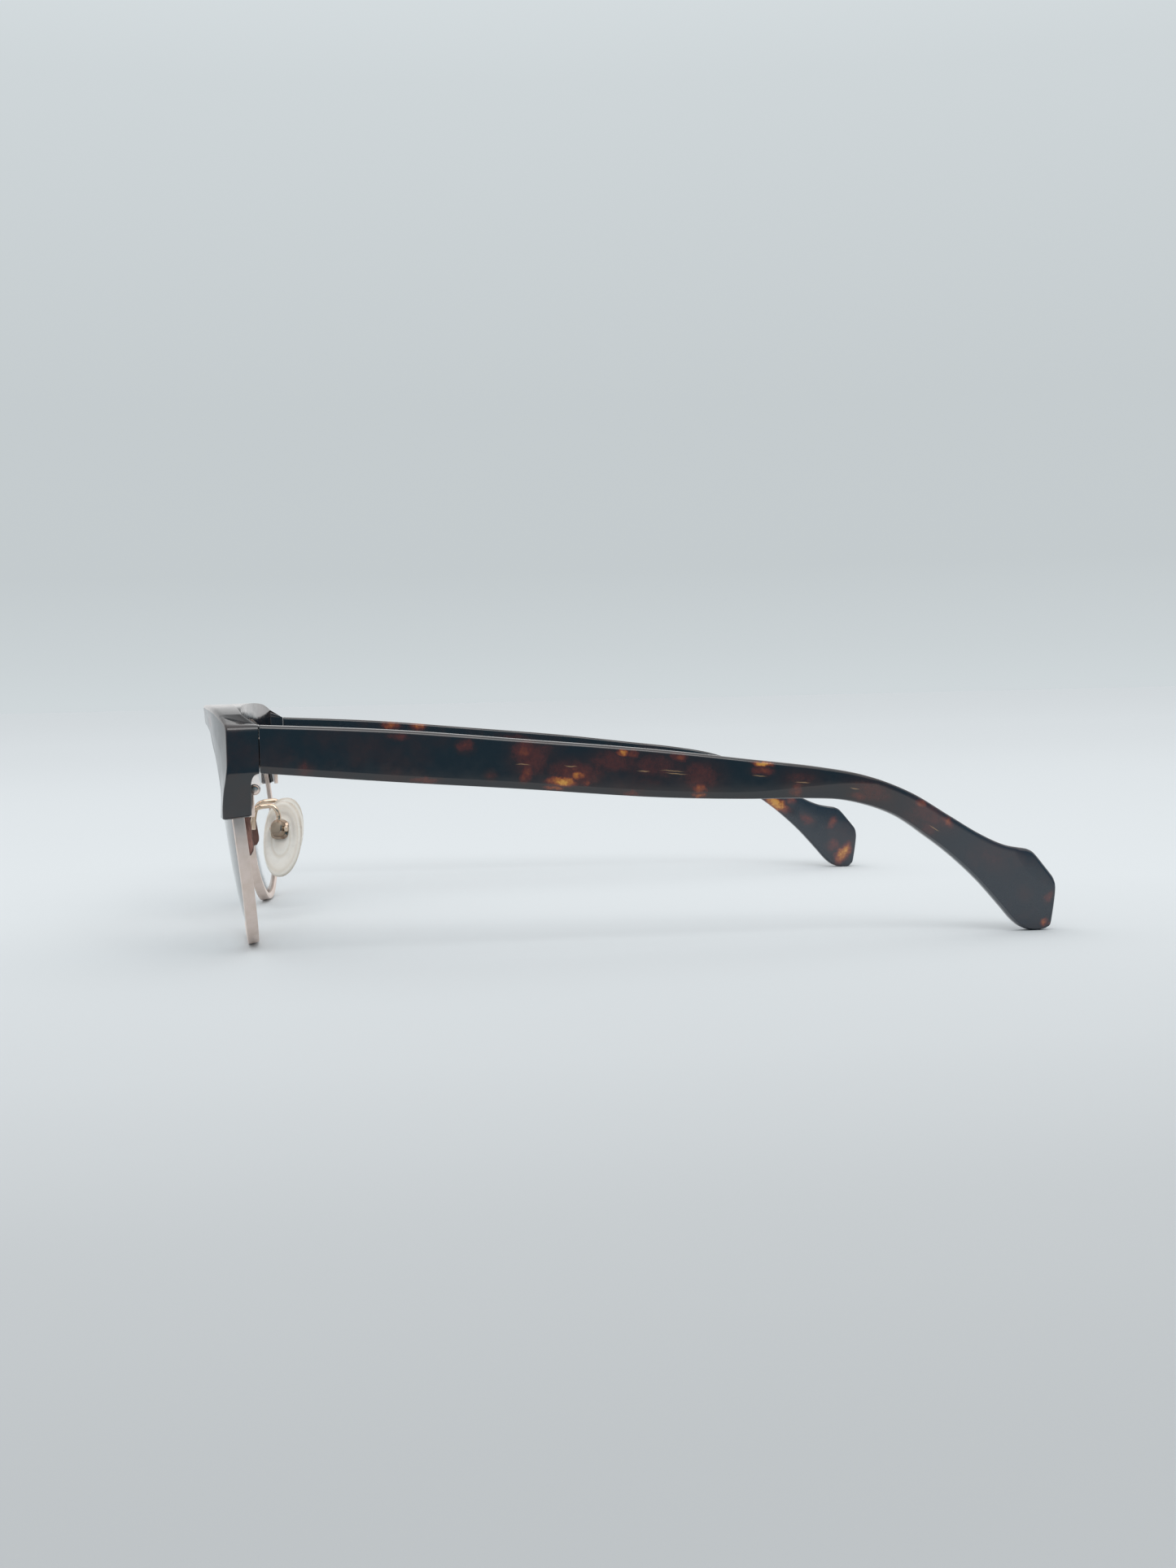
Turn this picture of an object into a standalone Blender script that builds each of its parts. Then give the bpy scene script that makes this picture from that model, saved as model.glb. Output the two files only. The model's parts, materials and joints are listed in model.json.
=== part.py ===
"""Browline (half rim) eyeglasses: acetate brows over metal eyewires, acetate temples.

The front faces -Y, the temples run towards +Y, +Z is up and +X is the wearer's left.
Every length below is in millimetres and is turned into metres where a mesh is made.
"""

import math

import bmesh
import bpy
from mathutils import Vector

MM = 0.001

# Overall layout. Y is measured from the joint between end piece and temple, then shifted
# so that the origin is under the middle of the glasses.
MID_Y = 63.58
FLOOR_Z = 0.0

# The curved surface on which both lenses and both eyewires lie.
LENS_X = 36.0
LENS_Z = 21.35
FRONT_Y = -6.86
WRAP = 0.063
TILT = 0.114
LENS_RADIUS = 227.0

# Lens shape, as points round the outside of the eyewire from the lens centre:
# (away from the nose, up).
RIM_SHAPE = (
    (0.0, 19.6),
    (10.0, 19.2),
    (18.5, 16.6),
    (24.2, 10.6),
    (26.4, 2.0),
    (24.6, -8.0),
    (18.0, -15.6),
    (9.0, -20.0),
    (0.0, -21.18),
    (-9.0, -19.6),
    (-17.5, -14.4),
    (-23.0, -6.0),
    (-25.4, 3.0),
    (-24.4, 11.5),
    (-18.5, 17.4),
    (-9.5, 19.4),
)
RIM_DEPTH = 2.0
RIM_WALL = 1.3
GROOVE = 0.55
GROOVE_HALF = 0.5
RIM_GAP = 0.3
# Rim lock: the plate and barrel that close the eyewire behind the brow's leg.
LOCK_Z = 29.3
LOCK_X = 62.4
LOCK_TALL = 4.6
LOCK_HALF = 1.0
LOCK_THICK = 0.8
LOCK_BARREL_R = 0.95
LOCK_BARREL_HALF = 1.2
LOCK_HOLE_R = 0.5
RIM_SCREW_R = 0.42
RIM_SCREW_HEAD_R = 0.75
# Sections of the lens: (share of the way out from its centre, distance in front of the surface).
LENS_FRONT = ((0.0, 1.0), (0.45, 0.95), (0.8, 0.75), (1.0, 0.38))
LENS_BACK = ((1.0, -0.38), (0.8, -0.6), (0.45, -0.7), (0.0, -0.72))
LENS_BEVEL = 0.5
LENS_ROOM = 0.1

# Brow: the acetate over the top and the outer side of each eyewire.
BROW_BACK = 1.6
BROW_ROUND = 1.0
BROW_BACK_ROUND = 0.7
CHANNEL = 0.1

# Ribs of the brow: (height on the eyewire, side of the eyewire, outer edge x, outer edge z,
# how far the brow stands in front of the surface at the eyewire, and at the outer edge).
# Side -1 is the nose side and +1 the outer side of the lens centre.
BROW_RIBS = (
    (33.6, -1, 10.3, 33.6, 2.6, 2.6),
    (36.4, -1, 10.9, 37.4, 2.7, 2.8),
    (38.6, -1, 12.6, 40.9, 2.7, 2.85),
    (39.9, -1, 16.6, 42.9, 2.7, 2.85),
    (40.6, -1, 25.0, 43.5, 2.7, 2.85),
    (40.95, 1, 36.0, 43.7, 2.6, 2.85),
    (40.6, 1, 45.5, 43.8, 2.4, 2.85),
    (38.9, 1, 54.0, 43.7, 2.2, 2.75),
    (36.2, 1, 60.5, 43.3, 2.2, 2.6),
    (34.2, 1, 66.2, 42.2, 2.2, 2.3),
    (33.2, 1, 69.4, 41.0, 2.2, 2.05),
    (32.6, 1, 70.7, 40.3, 2.2, 1.95),
    (32.0, 1, 71.2, 38.9, 2.2, 1.95),
    (30.8, 1, 71.2, 34.6, 2.2, 2.15),
    (30.0, 1, 71.2, 32.6, 2.2, 2.45),
    (29.2, 1, 71.0, 31.3, 2.25, 2.7),
    (28.2, 1, 70.4, 29.8, 2.35, 3.0),
    (26.6, 1, 69.2, 27.3, 2.6, 3.3),
    (25.2, 1, 67.9, 25.2, 2.85, 3.35),
)

# Joint between the end piece and the temple.
JOINT_GAP = 0.1
JOINT_TOP = 40.2
JOINT_BOTTOM = 32.3
JOINT_FILLET = 2.1
END_INNER_X = 66.6
TEMPLE_OUTER_X = 71.2
TEMPLE_INWARD = 6.4
TEMPLE_THICK = 4.6
TIP_THICK = 3.2
TIP_Y = 138.0

# Temple edges at matching places, from the joint back to the start of the tip:
# (top y, top z, bottom y, bottom z).
TEMPLE_EDGES = (
    (0.0, 40.2, 0.0, 32.3),
    (22.0, 38.84, 21.5, 30.23),
    (44.0, 36.67, 43.0, 28.37),
    (66.0, 34.41, 65.0, 26.3),
    (83.0, 32.21, 81.0, 25.4),
    (95.0, 30.59, 93.0, 25.08),
    (104.0, 28.74, 101.0, 24.33),
    (112.0, 25.59, 109.0, 21.68),
    (119.0, 21.34, 115.5, 17.32),
    (124.5, 17.97, 120.0, 13.8),
    (129.3, 15.7, 124.8, 9.3),
    (133.6, 14.8, 129.4, 4.1),
)
TIP_UPPER = (
    (133.6, 14.8),
    (134.6, 14.35),
    (135.5, 13.5),
    (137.0, 11.65),
    (138.0, 10.4),
    (138.7, 9.4),
    (139.0, 8.3),
    (139.0, 7.0),
    (138.65, 4.5),
    (138.25, 2.2),
    (137.95, 1.15),
)
TIP_LOWER = (
    (129.4, 4.1),
    (130.3, 3.0),
    (131.2, 2.0),
    (132.2, 1.1),
    (133.0, 0.6),
    (133.7, 0.3),
    (134.3, 0.12),
    (135.0, 0.0),
    (135.7, 0.0),
    (136.4, 0.0),
    (136.95, 0.12),
)
BEVEL = 1.1
BEVEL_IN = 0.45
CORE_END_Y = 124.0
CORE_WIDE = 0.7
CORE_THICK = 1.3
CORE_ROOM = 0.2

# Five-knuckle hinge behind the joint, with an upright screw.
PIN_X = 64.5
PIN_Y = 0.35
HINGE_TOP = 37.4
HINGE_BOTTOM = 33.1
BARREL_R = 1.25
HINGE_HOLE_R = 0.76
HINGE_SCREW_R = 0.7
HINGE_HEAD_R = 1.1
HINGE_HEAD_TALL = 0.6
KNUCKLE_PLAY = 0.04
LEAF_OFFSET = 0.12
KNUCKLES = 5
LEAF_THICK = 0.8
TEMPLE_LEAF_END = 10.0

# Nose pads: centre, and the direction from the pad towards the nose.
PAD_CENTRE = (8.2, 1.2, 16.7)
PAD_FACING = (-1.0, 0.38, -0.26)
PAD_LONG = 15.2
PAD_WIDE = 8.4
PAD_HALF = 1.0
BOX_UP = 1.7
BOX_LONG = 3.9
BOX_WIDE = 3.7
BOX_DEEP = 2.3
BOX_WALL = 0.45
BOX_RIM = 0.95
BOX_PLAY = 0.24
PAD_TO_BOX = 0.4
PAD_SCREW_R = 0.4
PAD_SCREW_HEAD_R = 0.6
PAD_BORE_R = 0.5
FOOT_LOW = 14.2
FOOT_HIGH = 22.2
FOOT_DEEP = 2.45
ARM_R = 0.48
ARM_PATH = (
    (9.35, -5.1, 17.5),
    (9.3, -4.95, 19.3),
    (9.25, -4.6, 21.2),
    (9.2, -4.0, 22.6),
    (9.2, -3.0, 23.2),
    (9.2, -1.5, 23.4),
    (9.3, -0.3, 23.35),
    (9.45, 0.4, 22.5),
)

# Bridge between the eyewires.
BRIDGE_END_Z = 30.2
BRIDGE_RISE = 3.4
BRIDGE_TALL = 2.6
BRIDGE_DEEP = 1.5


# ---------------------------------------------------------------- small helpers


def clear_scene():
    for obj in list(bpy.data.objects):
        bpy.data.objects.remove(obj, do_unlink=True)


def material(name, colour, roughness, metallic=0.0, alpha=1.0, transmission=0.0):
    made = bpy.data.materials.new(name)
    made.use_nodes = True
    shader = made.node_tree.nodes["Principled BSDF"]
    shader.inputs["Base Color"].default_value = (*colour, 1.0)
    shader.inputs["Roughness"].default_value = roughness
    shader.inputs["Metallic"].default_value = metallic
    shader.inputs["Alpha"].default_value = alpha
    shader.inputs["Transmission Weight"].default_value = transmission
    return made


def lerp(a, b, t):
    return tuple(p + (q - p) * t for p, q in zip(a, b))


def spline(points, t, closed=False):
    """A point on the smooth curve through the given points, t counted in points."""
    count = len(points)
    k = math.floor(t)
    if not closed:
        k = min(max(k, 0), count - 2)
    f = t - k

    def pick(i):
        return points[i % count] if closed else points[min(max(i, 0), count - 1)]

    p0, p1, p2, p3 = pick(k - 1), pick(k), pick(k + 1), pick(k + 2)
    return tuple(
        0.5 * (2 * b + (c - a) * f + (2 * a - 5 * b + 4 * c - d) * f * f + (3 * b - a - 3 * c + d) * f ** 3)
        for a, b, c, d in zip(p0, p1, p2, p3)
    )


def volume(points, faces):
    total = 0.0
    for face in faces:
        a = points[face[0]]
        for j in range(1, len(face) - 1):
            total += a.dot(points[face[j]].cross(points[face[j + 1]]))
    return total


def loft(rings, closed=False):
    """(points, faces) of the solid through rings of equal length, capped unless it is closed."""
    size = len(rings[0])
    points = [Vector(p) for ring in rings for p in ring]
    faces = []
    count = len(rings)
    for i in range(count if closed else count - 1):
        j = (i + 1) % count
        for k in range(size):
            m = (k + 1) % size
            faces.append((i * size + k, i * size + m, j * size + m, j * size + k))
    if not closed:
        faces.append(tuple(reversed(range(size))))
        faces.append(tuple(range((count - 1) * size, count * size)))
    if volume(points, faces) < 0:
        faces = [tuple(reversed(face)) for face in faces]
    return points, faces


def mirrored(shape):
    points, faces = shape
    return [Vector((-p.x, p.y, p.z)) for p in points], [tuple(reversed(face)) for face in faces]


def solid(name, points, faces):
    """An object with the given corners and faces, many-sided faces cut into triangles."""
    mesh = bpy.data.meshes.new(name)
    body = bmesh.new()
    corners = [body.verts.new(p) for p in points]
    for face in faces:
        body.faces.new([corners[i] for i in face])
    bmesh.ops.triangulate(body, faces=[f for f in body.faces if len(f.verts) > 4])
    body.to_mesh(mesh)
    body.free()
    obj = bpy.data.objects.new(name, mesh)
    bpy.context.scene.collection.objects.link(obj)
    return obj


def make(name, shape, mat, pivot=(0.0, MID_Y, 0.0)):
    """The named piece in metres, with its origin at the pivot."""
    points, faces = shape
    pivot = Vector(pivot)
    obj = solid(name, [(p - pivot) * MM for p in points], faces)
    obj.location = (pivot - Vector((0.0, MID_Y, 0.0))) * MM
    obj.data.materials.append(mat)
    return obj


def both(name, shape, mat, pivot=(0.0, MID_Y, 0.0)):
    """The left piece and its mirror image on the right."""
    make("left_" + name, shape, mat, pivot)
    make("right_" + name, mirrored(shape), mat, (-pivot[0], pivot[1], pivot[2]))


def combined(shape, others, operation):
    """The shape after a Boolean with each of the other shapes in turn, as points and faces."""
    for other in others:
        base = solid("boolean_base", *shape)
        helper = solid("boolean_helper", *other)
        modifier = base.modifiers.new("cut", "BOOLEAN")
        modifier.operation = operation
        modifier.solver = "EXACT"
        modifier.object = helper
        bpy.context.view_layer.update()
        graph = bpy.context.evaluated_depsgraph_get()
        body = bmesh.new()
        body.from_mesh(base.evaluated_get(graph).to_mesh())
        bmesh.ops.remove_doubles(body, verts=body.verts, dist=0.002)
        bmesh.ops.dissolve_degenerate(body, edges=body.edges, dist=0.002)
        bmesh.ops.triangulate(body, faces=[f for f in body.faces if len(f.verts) > 4])
        body.verts.index_update()
        shape = [v.co.copy() for v in body.verts], [tuple(v.index for v in f.verts) for f in body.faces]
        body.free()
        for obj in (base, helper):
            bpy.data.objects.remove(obj, do_unlink=True)
    return shape


def frame_of(direction):
    """Two unit vectors square to the direction."""
    along = Vector(direction).normalized()
    start = Vector((0, 0, 1)) if abs(along.z) < 0.9 else Vector((0, 1, 0))
    side = start.cross(along).normalized()
    return side, along.cross(side)


def rod(start, end, stations, sides=20, turn=0.0):
    """A round rod from start to end; stations are (distance from start, radius)."""
    start, end = Vector(start), Vector(end)
    along = (end - start).normalized()
    side, up = frame_of(along)
    rings = []
    for distance, radius in stations:
        centre = start + along * distance
        rings.append(
            [
                centre
                + side * radius * math.cos(turn + 2 * math.pi * k / sides)
                + up * radius * math.sin(turn + 2 * math.pi * k / sides)
                for k in range(sides)
            ]
        )
    return loft(rings)


def prism(profile, low, high):
    """An upright prism with the (x, y) profile."""
    return loft([[(x, y, low) for x, y in profile], [(x, y, high) for x, y in profile]])


def block(low, high):
    x0, y0, z0 = low
    x1, y1, z1 = high
    return prism([(x0, y0), (x1, y0), (x1, y1), (x0, y1)], z0, z1)


# ---------------------------------------------------------------- the front surface


def front(x, z, forward=0.0):
    """The point at (x, z) on the lens surface, moved forward along the surface normal."""
    y = FRONT_Y + WRAP * x - TILT * z + ((x - LENS_X) ** 2 + (z - LENS_Z) ** 2) / (2 * LENS_RADIUS)
    slope_x = WRAP + (x - LENS_X) / LENS_RADIUS
    slope_z = -TILT + (z - LENS_Z) / LENS_RADIUS
    normal = Vector((slope_x, -1.0, slope_z)).normalized()
    return Vector((x, y, z)) + normal * forward


def rim_points(count):
    """Evenly spaced (x, z) points round the eyewire's outer edge, from the lens top outwards."""
    fine = 40 * len(RIM_SHAPE)
    raw = [spline(RIM_SHAPE, len(RIM_SHAPE) * i / fine, True) for i in range(fine + 1)]
    lengths = [0.0]
    for a, b in zip(raw, raw[1:]):
        lengths.append(lengths[-1] + math.dist(a, b))
    made = []
    j = 0
    for i in range(count):
        target = lengths[-1] * i / count
        while lengths[j + 1] < target:
            j += 1
        t = (target - lengths[j]) / (lengths[j + 1] - lengths[j])
        u, v = lerp(raw[j], raw[j + 1], t)
        made.append((LENS_X + u, LENS_Z + v))
    return made


RIM_FINE = rim_points(720)


def rim_at(t):
    """((x, z), outward (x, z)) at the fraction t round the eyewire."""
    count = len(RIM_FINE)
    place = (t % 1.0) * count
    i = math.floor(place)
    point = lerp(RIM_FINE[i % count], RIM_FINE[(i + 1) % count], place - i)
    before, after = RIM_FINE[(i - 3) % count], RIM_FINE[(i + 4) % count]
    dx, dz = after[0] - before[0], after[1] - before[1]
    size = math.hypot(dx, dz)
    return point, (-dz / size, dx / size)


def rim_out(t, out):
    """The (x, z) point at the fraction t, moved outwards from the eyewire's outer edge."""
    (x, z), (nx, nz) = rim_at(t)
    return x + nx * out, z + nz * out


def rim_fraction(height, side):
    """The fraction round the eyewire at the given height, on its upper half."""
    count = len(RIM_FINE)
    best = min(
        range(-count // 3, count // 3),
        key=lambda i: abs(RIM_FINE[i % count][1] - height) + (100.0 if i * side < 0 else 0.0),
    )
    return best / count


# ---------------------------------------------------------------- eyewire and lens


def eyewire():
    half = RIM_DEPTH / 2
    section = (
        (0.0, -half + 0.2),
        (0.0, half - 0.2),
        (-0.2, half),
        (-RIM_WALL, half),
        (-RIM_WALL, GROOVE_HALF),
        (-RIM_WALL + GROOVE, 0.0),
        (-RIM_WALL, -GROOVE_HALF),
        (-RIM_WALL, -half),
        (-0.2, -half),
    )
    middle = rim_fraction(LOCK_Z, 1)
    perimeter = sum(math.dist(a, b) for a, b in zip(RIM_FINE, RIM_FINE[1:]))
    gap = RIM_GAP / perimeter
    steps = 64
    rings = []
    for i in range(steps + 1):
        t = middle + gap / 2 + (1 - gap) * i / steps
        rings.append([front(*rim_out(t, out), forward) for out, forward in section])
    return loft(rings)


def lens():
    count = 56
    edge = -RIM_WALL + GROOVE - LENS_ROOM
    rims = [rim_out(i / count, edge - LENS_BEVEL) for i in range(count)]
    rings = []
    for share, forward in LENS_FRONT[1:]:
        rings.append([front(*lerp((LENS_X, LENS_Z), rim, share), forward) for rim in rims])
    rings.append([front(*rim_out(i / count, edge)) for i in range(count)])
    for share, forward in LENS_BACK[:-1]:
        rings.append([front(*lerp((LENS_X, LENS_Z), rim, share), forward) for rim in rims])
    points = [p for ring in rings for p in ring]
    points += [front(LENS_X, LENS_Z, LENS_FRONT[0][1]), front(LENS_X, LENS_Z, LENS_BACK[-1][1])]
    faces = []
    last = (len(rings) - 1) * count
    for i in range(count):
        j = (i + 1) % count
        for k in range(0, last, count):
            faces.append((k + i, k + count + i, k + count + j, k + j))
        faces.append((len(points) - 2, i, j))
        faces.append((len(points) - 1, last + j, last + i))
    if volume(points, faces) < 0:
        faces = [tuple(reversed(face)) for face in faces]
    return points, faces


# ---------------------------------------------------------------- brow


def end_piece_depth(x, z, back):
    """The y of the rear face at (x, z): the end piece reaches back to the joint."""
    if x < END_INNER_X - 0.01 or z <= JOINT_BOTTOM - JOINT_FILLET:
        return back
    if z >= JOINT_BOTTOM:
        return -JOINT_GAP
    f = (z - (JOINT_BOTTOM - JOINT_FILLET)) / JOINT_FILLET
    return back + (-JOINT_GAP - back) * (1 - math.sqrt(max(0.0, 1 - f * f)))


def brow_ring(t, outer, inner_front, outer_front, inset=0.0):
    """The section of the brow on the line from the eyewire at t to the outer edge point."""
    base = rim_out(t, 0.75)
    away = Vector(outer) - Vector(base)
    outer = tuple(Vector(outer) - away.normalized() * inset)
    length = away.length - inset
    back = BROW_BACK - inset
    crisp = min(1.0, max(0.0, (outer[0] - END_INNER_X) / 4.0))
    room = min(BROW_ROUND * (1 - 0.5 * crisp), 0.42 * length)
    back_room = min(BROW_BACK_ROUND * (1 - 0.65 * crisp), 0.3 * length)
    level = 0.97
    if outer[0] > base[0]:
        level = min(0.97, max(0.1, (END_INNER_X - base[0]) / (outer[0] - base[0])))
    before = level - (0.4 / length if level < 0.9 else 0.05)

    def ahead(share, sunk):
        forward = inner_front + (outer_front - inner_front) * share
        return front(*lerp(base, outer, share), forward - inset - sunk)

    def rear(share, forward):
        x, z = lerp(base, outer, share)
        point = front(x, z, forward - back)
        y = end_piece_depth(x, z, point.y)
        if y > point.y:
            f = (y - point.y) / (-JOINT_GAP - point.y)
            point = Vector((x, y - 0.4 * forward, point.z + (min(z, JOINT_TOP) - point.z) * f))
        return point

    return [
        front(*rim_out(t, -1.0 + inset), inner_front - inset - 0.9),
        front(*rim_out(t, -0.8 + inset), inner_front - inset - 0.3),
        front(*rim_out(t, -0.2 + inset), inner_front - inset),
        ahead(0.4, -0.05),
        ahead(1 - room / length, 0.0),
        ahead(1 - 0.3 * room / length, 0.3 * room),
        ahead(1.0, room),
        rear(1.0, back_room),
        rear(1 - 0.3 * back_room / length, 0.3 * back_room),
        rear(max(level, 1 - back_room / length) if level > 0.9 else 1 - back_room / length, 0.0),
        rear(min(level + 0.001, 0.96), 0.0),
        rear(before, 0.0),
        rear(0.3 * before, 0.0),
        front(*rim_out(t, -0.3), -back),
        front(*rim_out(t, -0.8 + inset), -back + 0.2),
        front(*rim_out(t, -0.8), -RIM_DEPTH / 2 - CHANNEL),
        front(*rim_out(t, 0.12), -RIM_DEPTH / 2 - CHANNEL),
        front(*rim_out(t, 0.12), RIM_DEPTH / 2 + CHANNEL),
        front(*rim_out(t, -1.0), RIM_DEPTH / 2 + CHANNEL),
    ]


def brow(steps=52):
    keys = [(rim_fraction(height, side), *rest) for height, side, *rest in BROW_RIBS]
    last = len(keys) - 1
    rings = []
    for i in range(steps + 1):
        t, x, z, inner_front, outer_front = spline(keys, last * i / steps)
        rings.append(brow_ring(t, (x, z), inner_front, outer_front))
    t, x, z, inner_front, outer_front = keys[0]
    rings.insert(0, brow_ring(t - 0.0025, (x, z - 0.3), inner_front, outer_front, 0.3))
    t, x, z, inner_front, outer_front = keys[-1]
    rings.append(brow_ring(t + 0.0025, (x, z - 0.3), inner_front, outer_front, 0.3))
    return loft(rings)


# ---------------------------------------------------------------- temple


def temple_outer(y):
    return TEMPLE_OUTER_X - TEMPLE_INWARD * (max(y, 0.0) / TIP_Y) ** 1.25


def temple_thick(y):
    return TEMPLE_THICK + (TIP_THICK - TEMPLE_THICK) * min(1.0, max(y, 0.0) / TIP_Y)


def temple_lines(steps=40, tip_steps=14):
    """Pairs of (top, bottom) points, each (y, z), from the joint to the end of the tip."""
    last = len(TEMPLE_EDGES) - 1
    pairs = []
    for i in range(steps + 1):
        top_y, top_z, low_y, low_z = spline(TEMPLE_EDGES, last * i / steps)
        pairs.append(((top_y, top_z), (low_y, low_z)))
    last = len(TIP_UPPER) - 1
    for i in range(1, tip_steps + 1):
        place = last * i / tip_steps
        low_y, low_z = spline(TIP_LOWER, place)
        pairs.append((spline(TIP_UPPER, place), (low_y, max(FLOOR_Z, low_z))))
    start = JOINT_GAP
    pairs[0] = ((start, pairs[0][0][1]), (start, pairs[0][1][1]))
    return pairs


def bevel_at(y):
    """(height, depth) of the bevel on the lower outer edge: it widens over the ear."""
    f = min(1.0, max(0.0, (y - 78.0) / 42.0))
    return BEVEL + f * f * 7.5, BEVEL_IN + 0.15 * f


def temple_ring(top, low):
    height = math.dist(top, low)
    scale = min(1.0, height / 3.2)
    bevel, bevel_in = bevel_at((top[0] + low[0]) / 2)
    bevel = min(bevel, height - 1.0 * scale - 0.05)

    def at(down, inward):
        y, z = lerp(top, low, down / height)
        return Vector((temple_outer(y) - inward, y, z))

    thick = temple_thick((top[0] + low[0]) / 2)
    s = scale
    return [
        at(0.0, 0.9 * s),
        at(0.27 * s, 0.27 * s),
        at(0.9 * s, 0.0),
        at(height - bevel, 0.0),
        at(height - 0.22 * s, bevel_in),
        at(height, bevel_in + 0.35),
        at(height, thick - 0.7 * s),
        at(height - 0.2 * s, thick - 0.2 * s),
        at(height - 0.7 * s, thick),
        at(0.7 * s, thick),
        at(0.2 * s, thick - 0.2 * s),
        at(0.0, thick - 0.7 * s),
    ]


def core_ring(top, low, tall, wide, sides=12):
    middle = lerp(top, low, 0.5)
    height = math.dist(top, low)
    up = ((top[0] - low[0]) / height, (top[1] - low[1]) / height)
    x = temple_outer(middle[0]) - temple_thick(middle[0]) / 2
    ring = []
    for k in range(sides):
        a = 2 * math.pi * (k + 0.5) / sides + math.radians(15)
        lift = tall / 2 * math.sin(a)
        ring.append(Vector((x + wide / 2 * math.cos(a), middle[0] + up[0] * lift, middle[1] + up[1] * lift)))
    return ring


def temple():
    """The temple with the blind channel of its core wire, open at the joint."""
    pairs = temple_lines()
    outside = [temple_ring(top, low) for top, low in pairs]
    inside = [
        core_ring(top, low, CORE_THICK + 2 * CORE_ROOM, CORE_WIDE + 2 * CORE_ROOM)
        for top, low in pairs
        if top[0] < CORE_END_Y + 3.0
    ]
    size = len(outside[0])
    outer_points, outer_faces = loft(outside)
    points = [Vector(p) for ring in outside for p in ring] + [p for ring in inside for p in ring]
    first = len(outside) * size
    faces = []
    flip = outer_faces[0] != (0, 1, size + 1, size)
    for i in range(len(outside) - 1):
        for k in range(size):
            m = (k + 1) % size
            faces.append((i * size + k, i * size + m, (i + 1) * size + m, (i + 1) * size + k))
    faces.append(tuple(range((len(outside) - 1) * size, len(outside) * size)))
    start = closest_turn(outside[0], inside[0])
    step = start[1]
    order = [(start[0] + step * k) % size for k in range(size)]
    for k in range(size):
        m = (k + 1) % size
        faces.append((m, k, first + order[k], first + order[m]))
    for i in range(len(inside) - 1):
        for k in range(size):
            m = (k + 1) % size
            a = first + i * size
            b = a + size
            faces.append((a + order[k], b + order[k], b + order[m], a + order[m]))
    end = first + (len(inside) - 1) * size
    faces.append(tuple(end + order[k] for k in reversed(range(size))))
    if flip:
        faces = [tuple(reversed(face)) for face in faces]
    return points, faces


def closest_turn(outer, inner):
    """How to number the inner ring so that its points face those of the outer ring."""
    size = len(outer)
    middle = sum(inner, Vector()) / size

    def angle(p):
        return math.atan2(p.z - middle.z, p.x - middle.x)

    best = None
    for step in (1, -1):
        for start in range(size):
            total = 0.0
            for k in range(size):
                gap = angle(outer[k]) - angle(inner[(start + step * k) % size])
                total += 1 - math.cos(gap)
            if best is None or total < best[0]:
                best = (total, start, step)
    return best[1], best[2]


def core_wire():
    rings = []
    pairs = [pair for pair in temple_lines() if 0.0 < pair[0][0] < CORE_END_Y]
    for i, (top, low) in enumerate(pairs):
        taper = 1.0 - 0.35 * i / (len(pairs) - 1)
        if i == 0:
            top, low = (top[0] + 0.6, top[1] - 0.05), (low[0] + 0.6, low[1] - 0.05)
        rings.append(core_ring(top, low, CORE_THICK * taper, CORE_WIDE * taper))
    return loft(rings)


# ---------------------------------------------------------------- hinge


def knuckle_span(k):
    tall = (HINGE_TOP - HINGE_BOTTOM) / KNUCKLES
    return HINGE_BOTTOM + k * tall, HINGE_BOTTOM + (k + 1) * tall


def barrels(plate, first, arm_low, arm_high):
    """The plate with every other knuckle joined to it by an arm between two (x, y) corners."""
    shape = plate
    for k in range(first, KNUCKLES, 2):
        low, high = knuckle_span(k)
        low, high = low + 0.03, high - 0.03
        rings = []
        for i in range(24):
            a = 2 * math.pi * i / 24
            c, s = math.cos(a), math.sin(a)
            rings.append(
                [
                    (PIN_X + r * c, PIN_Y + r * s, z)
                    for r, z in (
                        (HINGE_HOLE_R, low),
                        (BARREL_R, low),
                        (BARREL_R, high),
                        (HINGE_HOLE_R, high),
                    )
                ]
            )
        arm = block((*arm_low, low + KNUCKLE_PLAY), (*arm_high, high - KNUCKLE_PLAY))
        shape = combined(shape, [arm, loft(rings, True)], "UNION")
    return shape


def front_leaf():
    """The leaf on the back of the brow, with three knuckles."""
    z = (HINGE_TOP + HINGE_BOTTOM) / 2
    inner = front(61.0, z, -BROW_BACK - 0.2)
    outer = front(END_INNER_X - 0.6, z, -BROW_BACK - 0.2)
    profile = [
        (inner.x, inner.y + 0.08),
        (outer.x, outer.y + 0.08),
        (outer.x, outer.y + LEAF_THICK),
        (inner.x, inner.y + LEAF_THICK),
    ]
    plate = prism(profile, HINGE_BOTTOM, HINGE_TOP)
    low = (PIN_X - BARREL_R + 0.05, outer.y + 0.2)
    return barrels(plate, 0, low, (PIN_X + BARREL_R - 0.1, PIN_Y - 0.83))


def temple_leaf():
    """The leaf on the inner side of the temple, with two knuckles."""
    face = [(temple_outer(y) - temple_thick(y) - LEAF_OFFSET, y) for y in (-0.2, 3.0, 6.5, TEMPLE_LEAF_END)]
    side = PIN_X + BARREL_R + LEAF_OFFSET
    profile = [*face, (face[3][0] - 0.4, TEMPLE_LEAF_END), (side - 0.02, 6.5), (side, 3.0), (side, -0.2)]
    plate = prism(profile, HINGE_BOTTOM, HINGE_TOP)
    return barrels(plate, 1, (PIN_X + 0.83, PIN_Y - 0.4), (side + 0.2, PIN_Y + 0.9))


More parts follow.
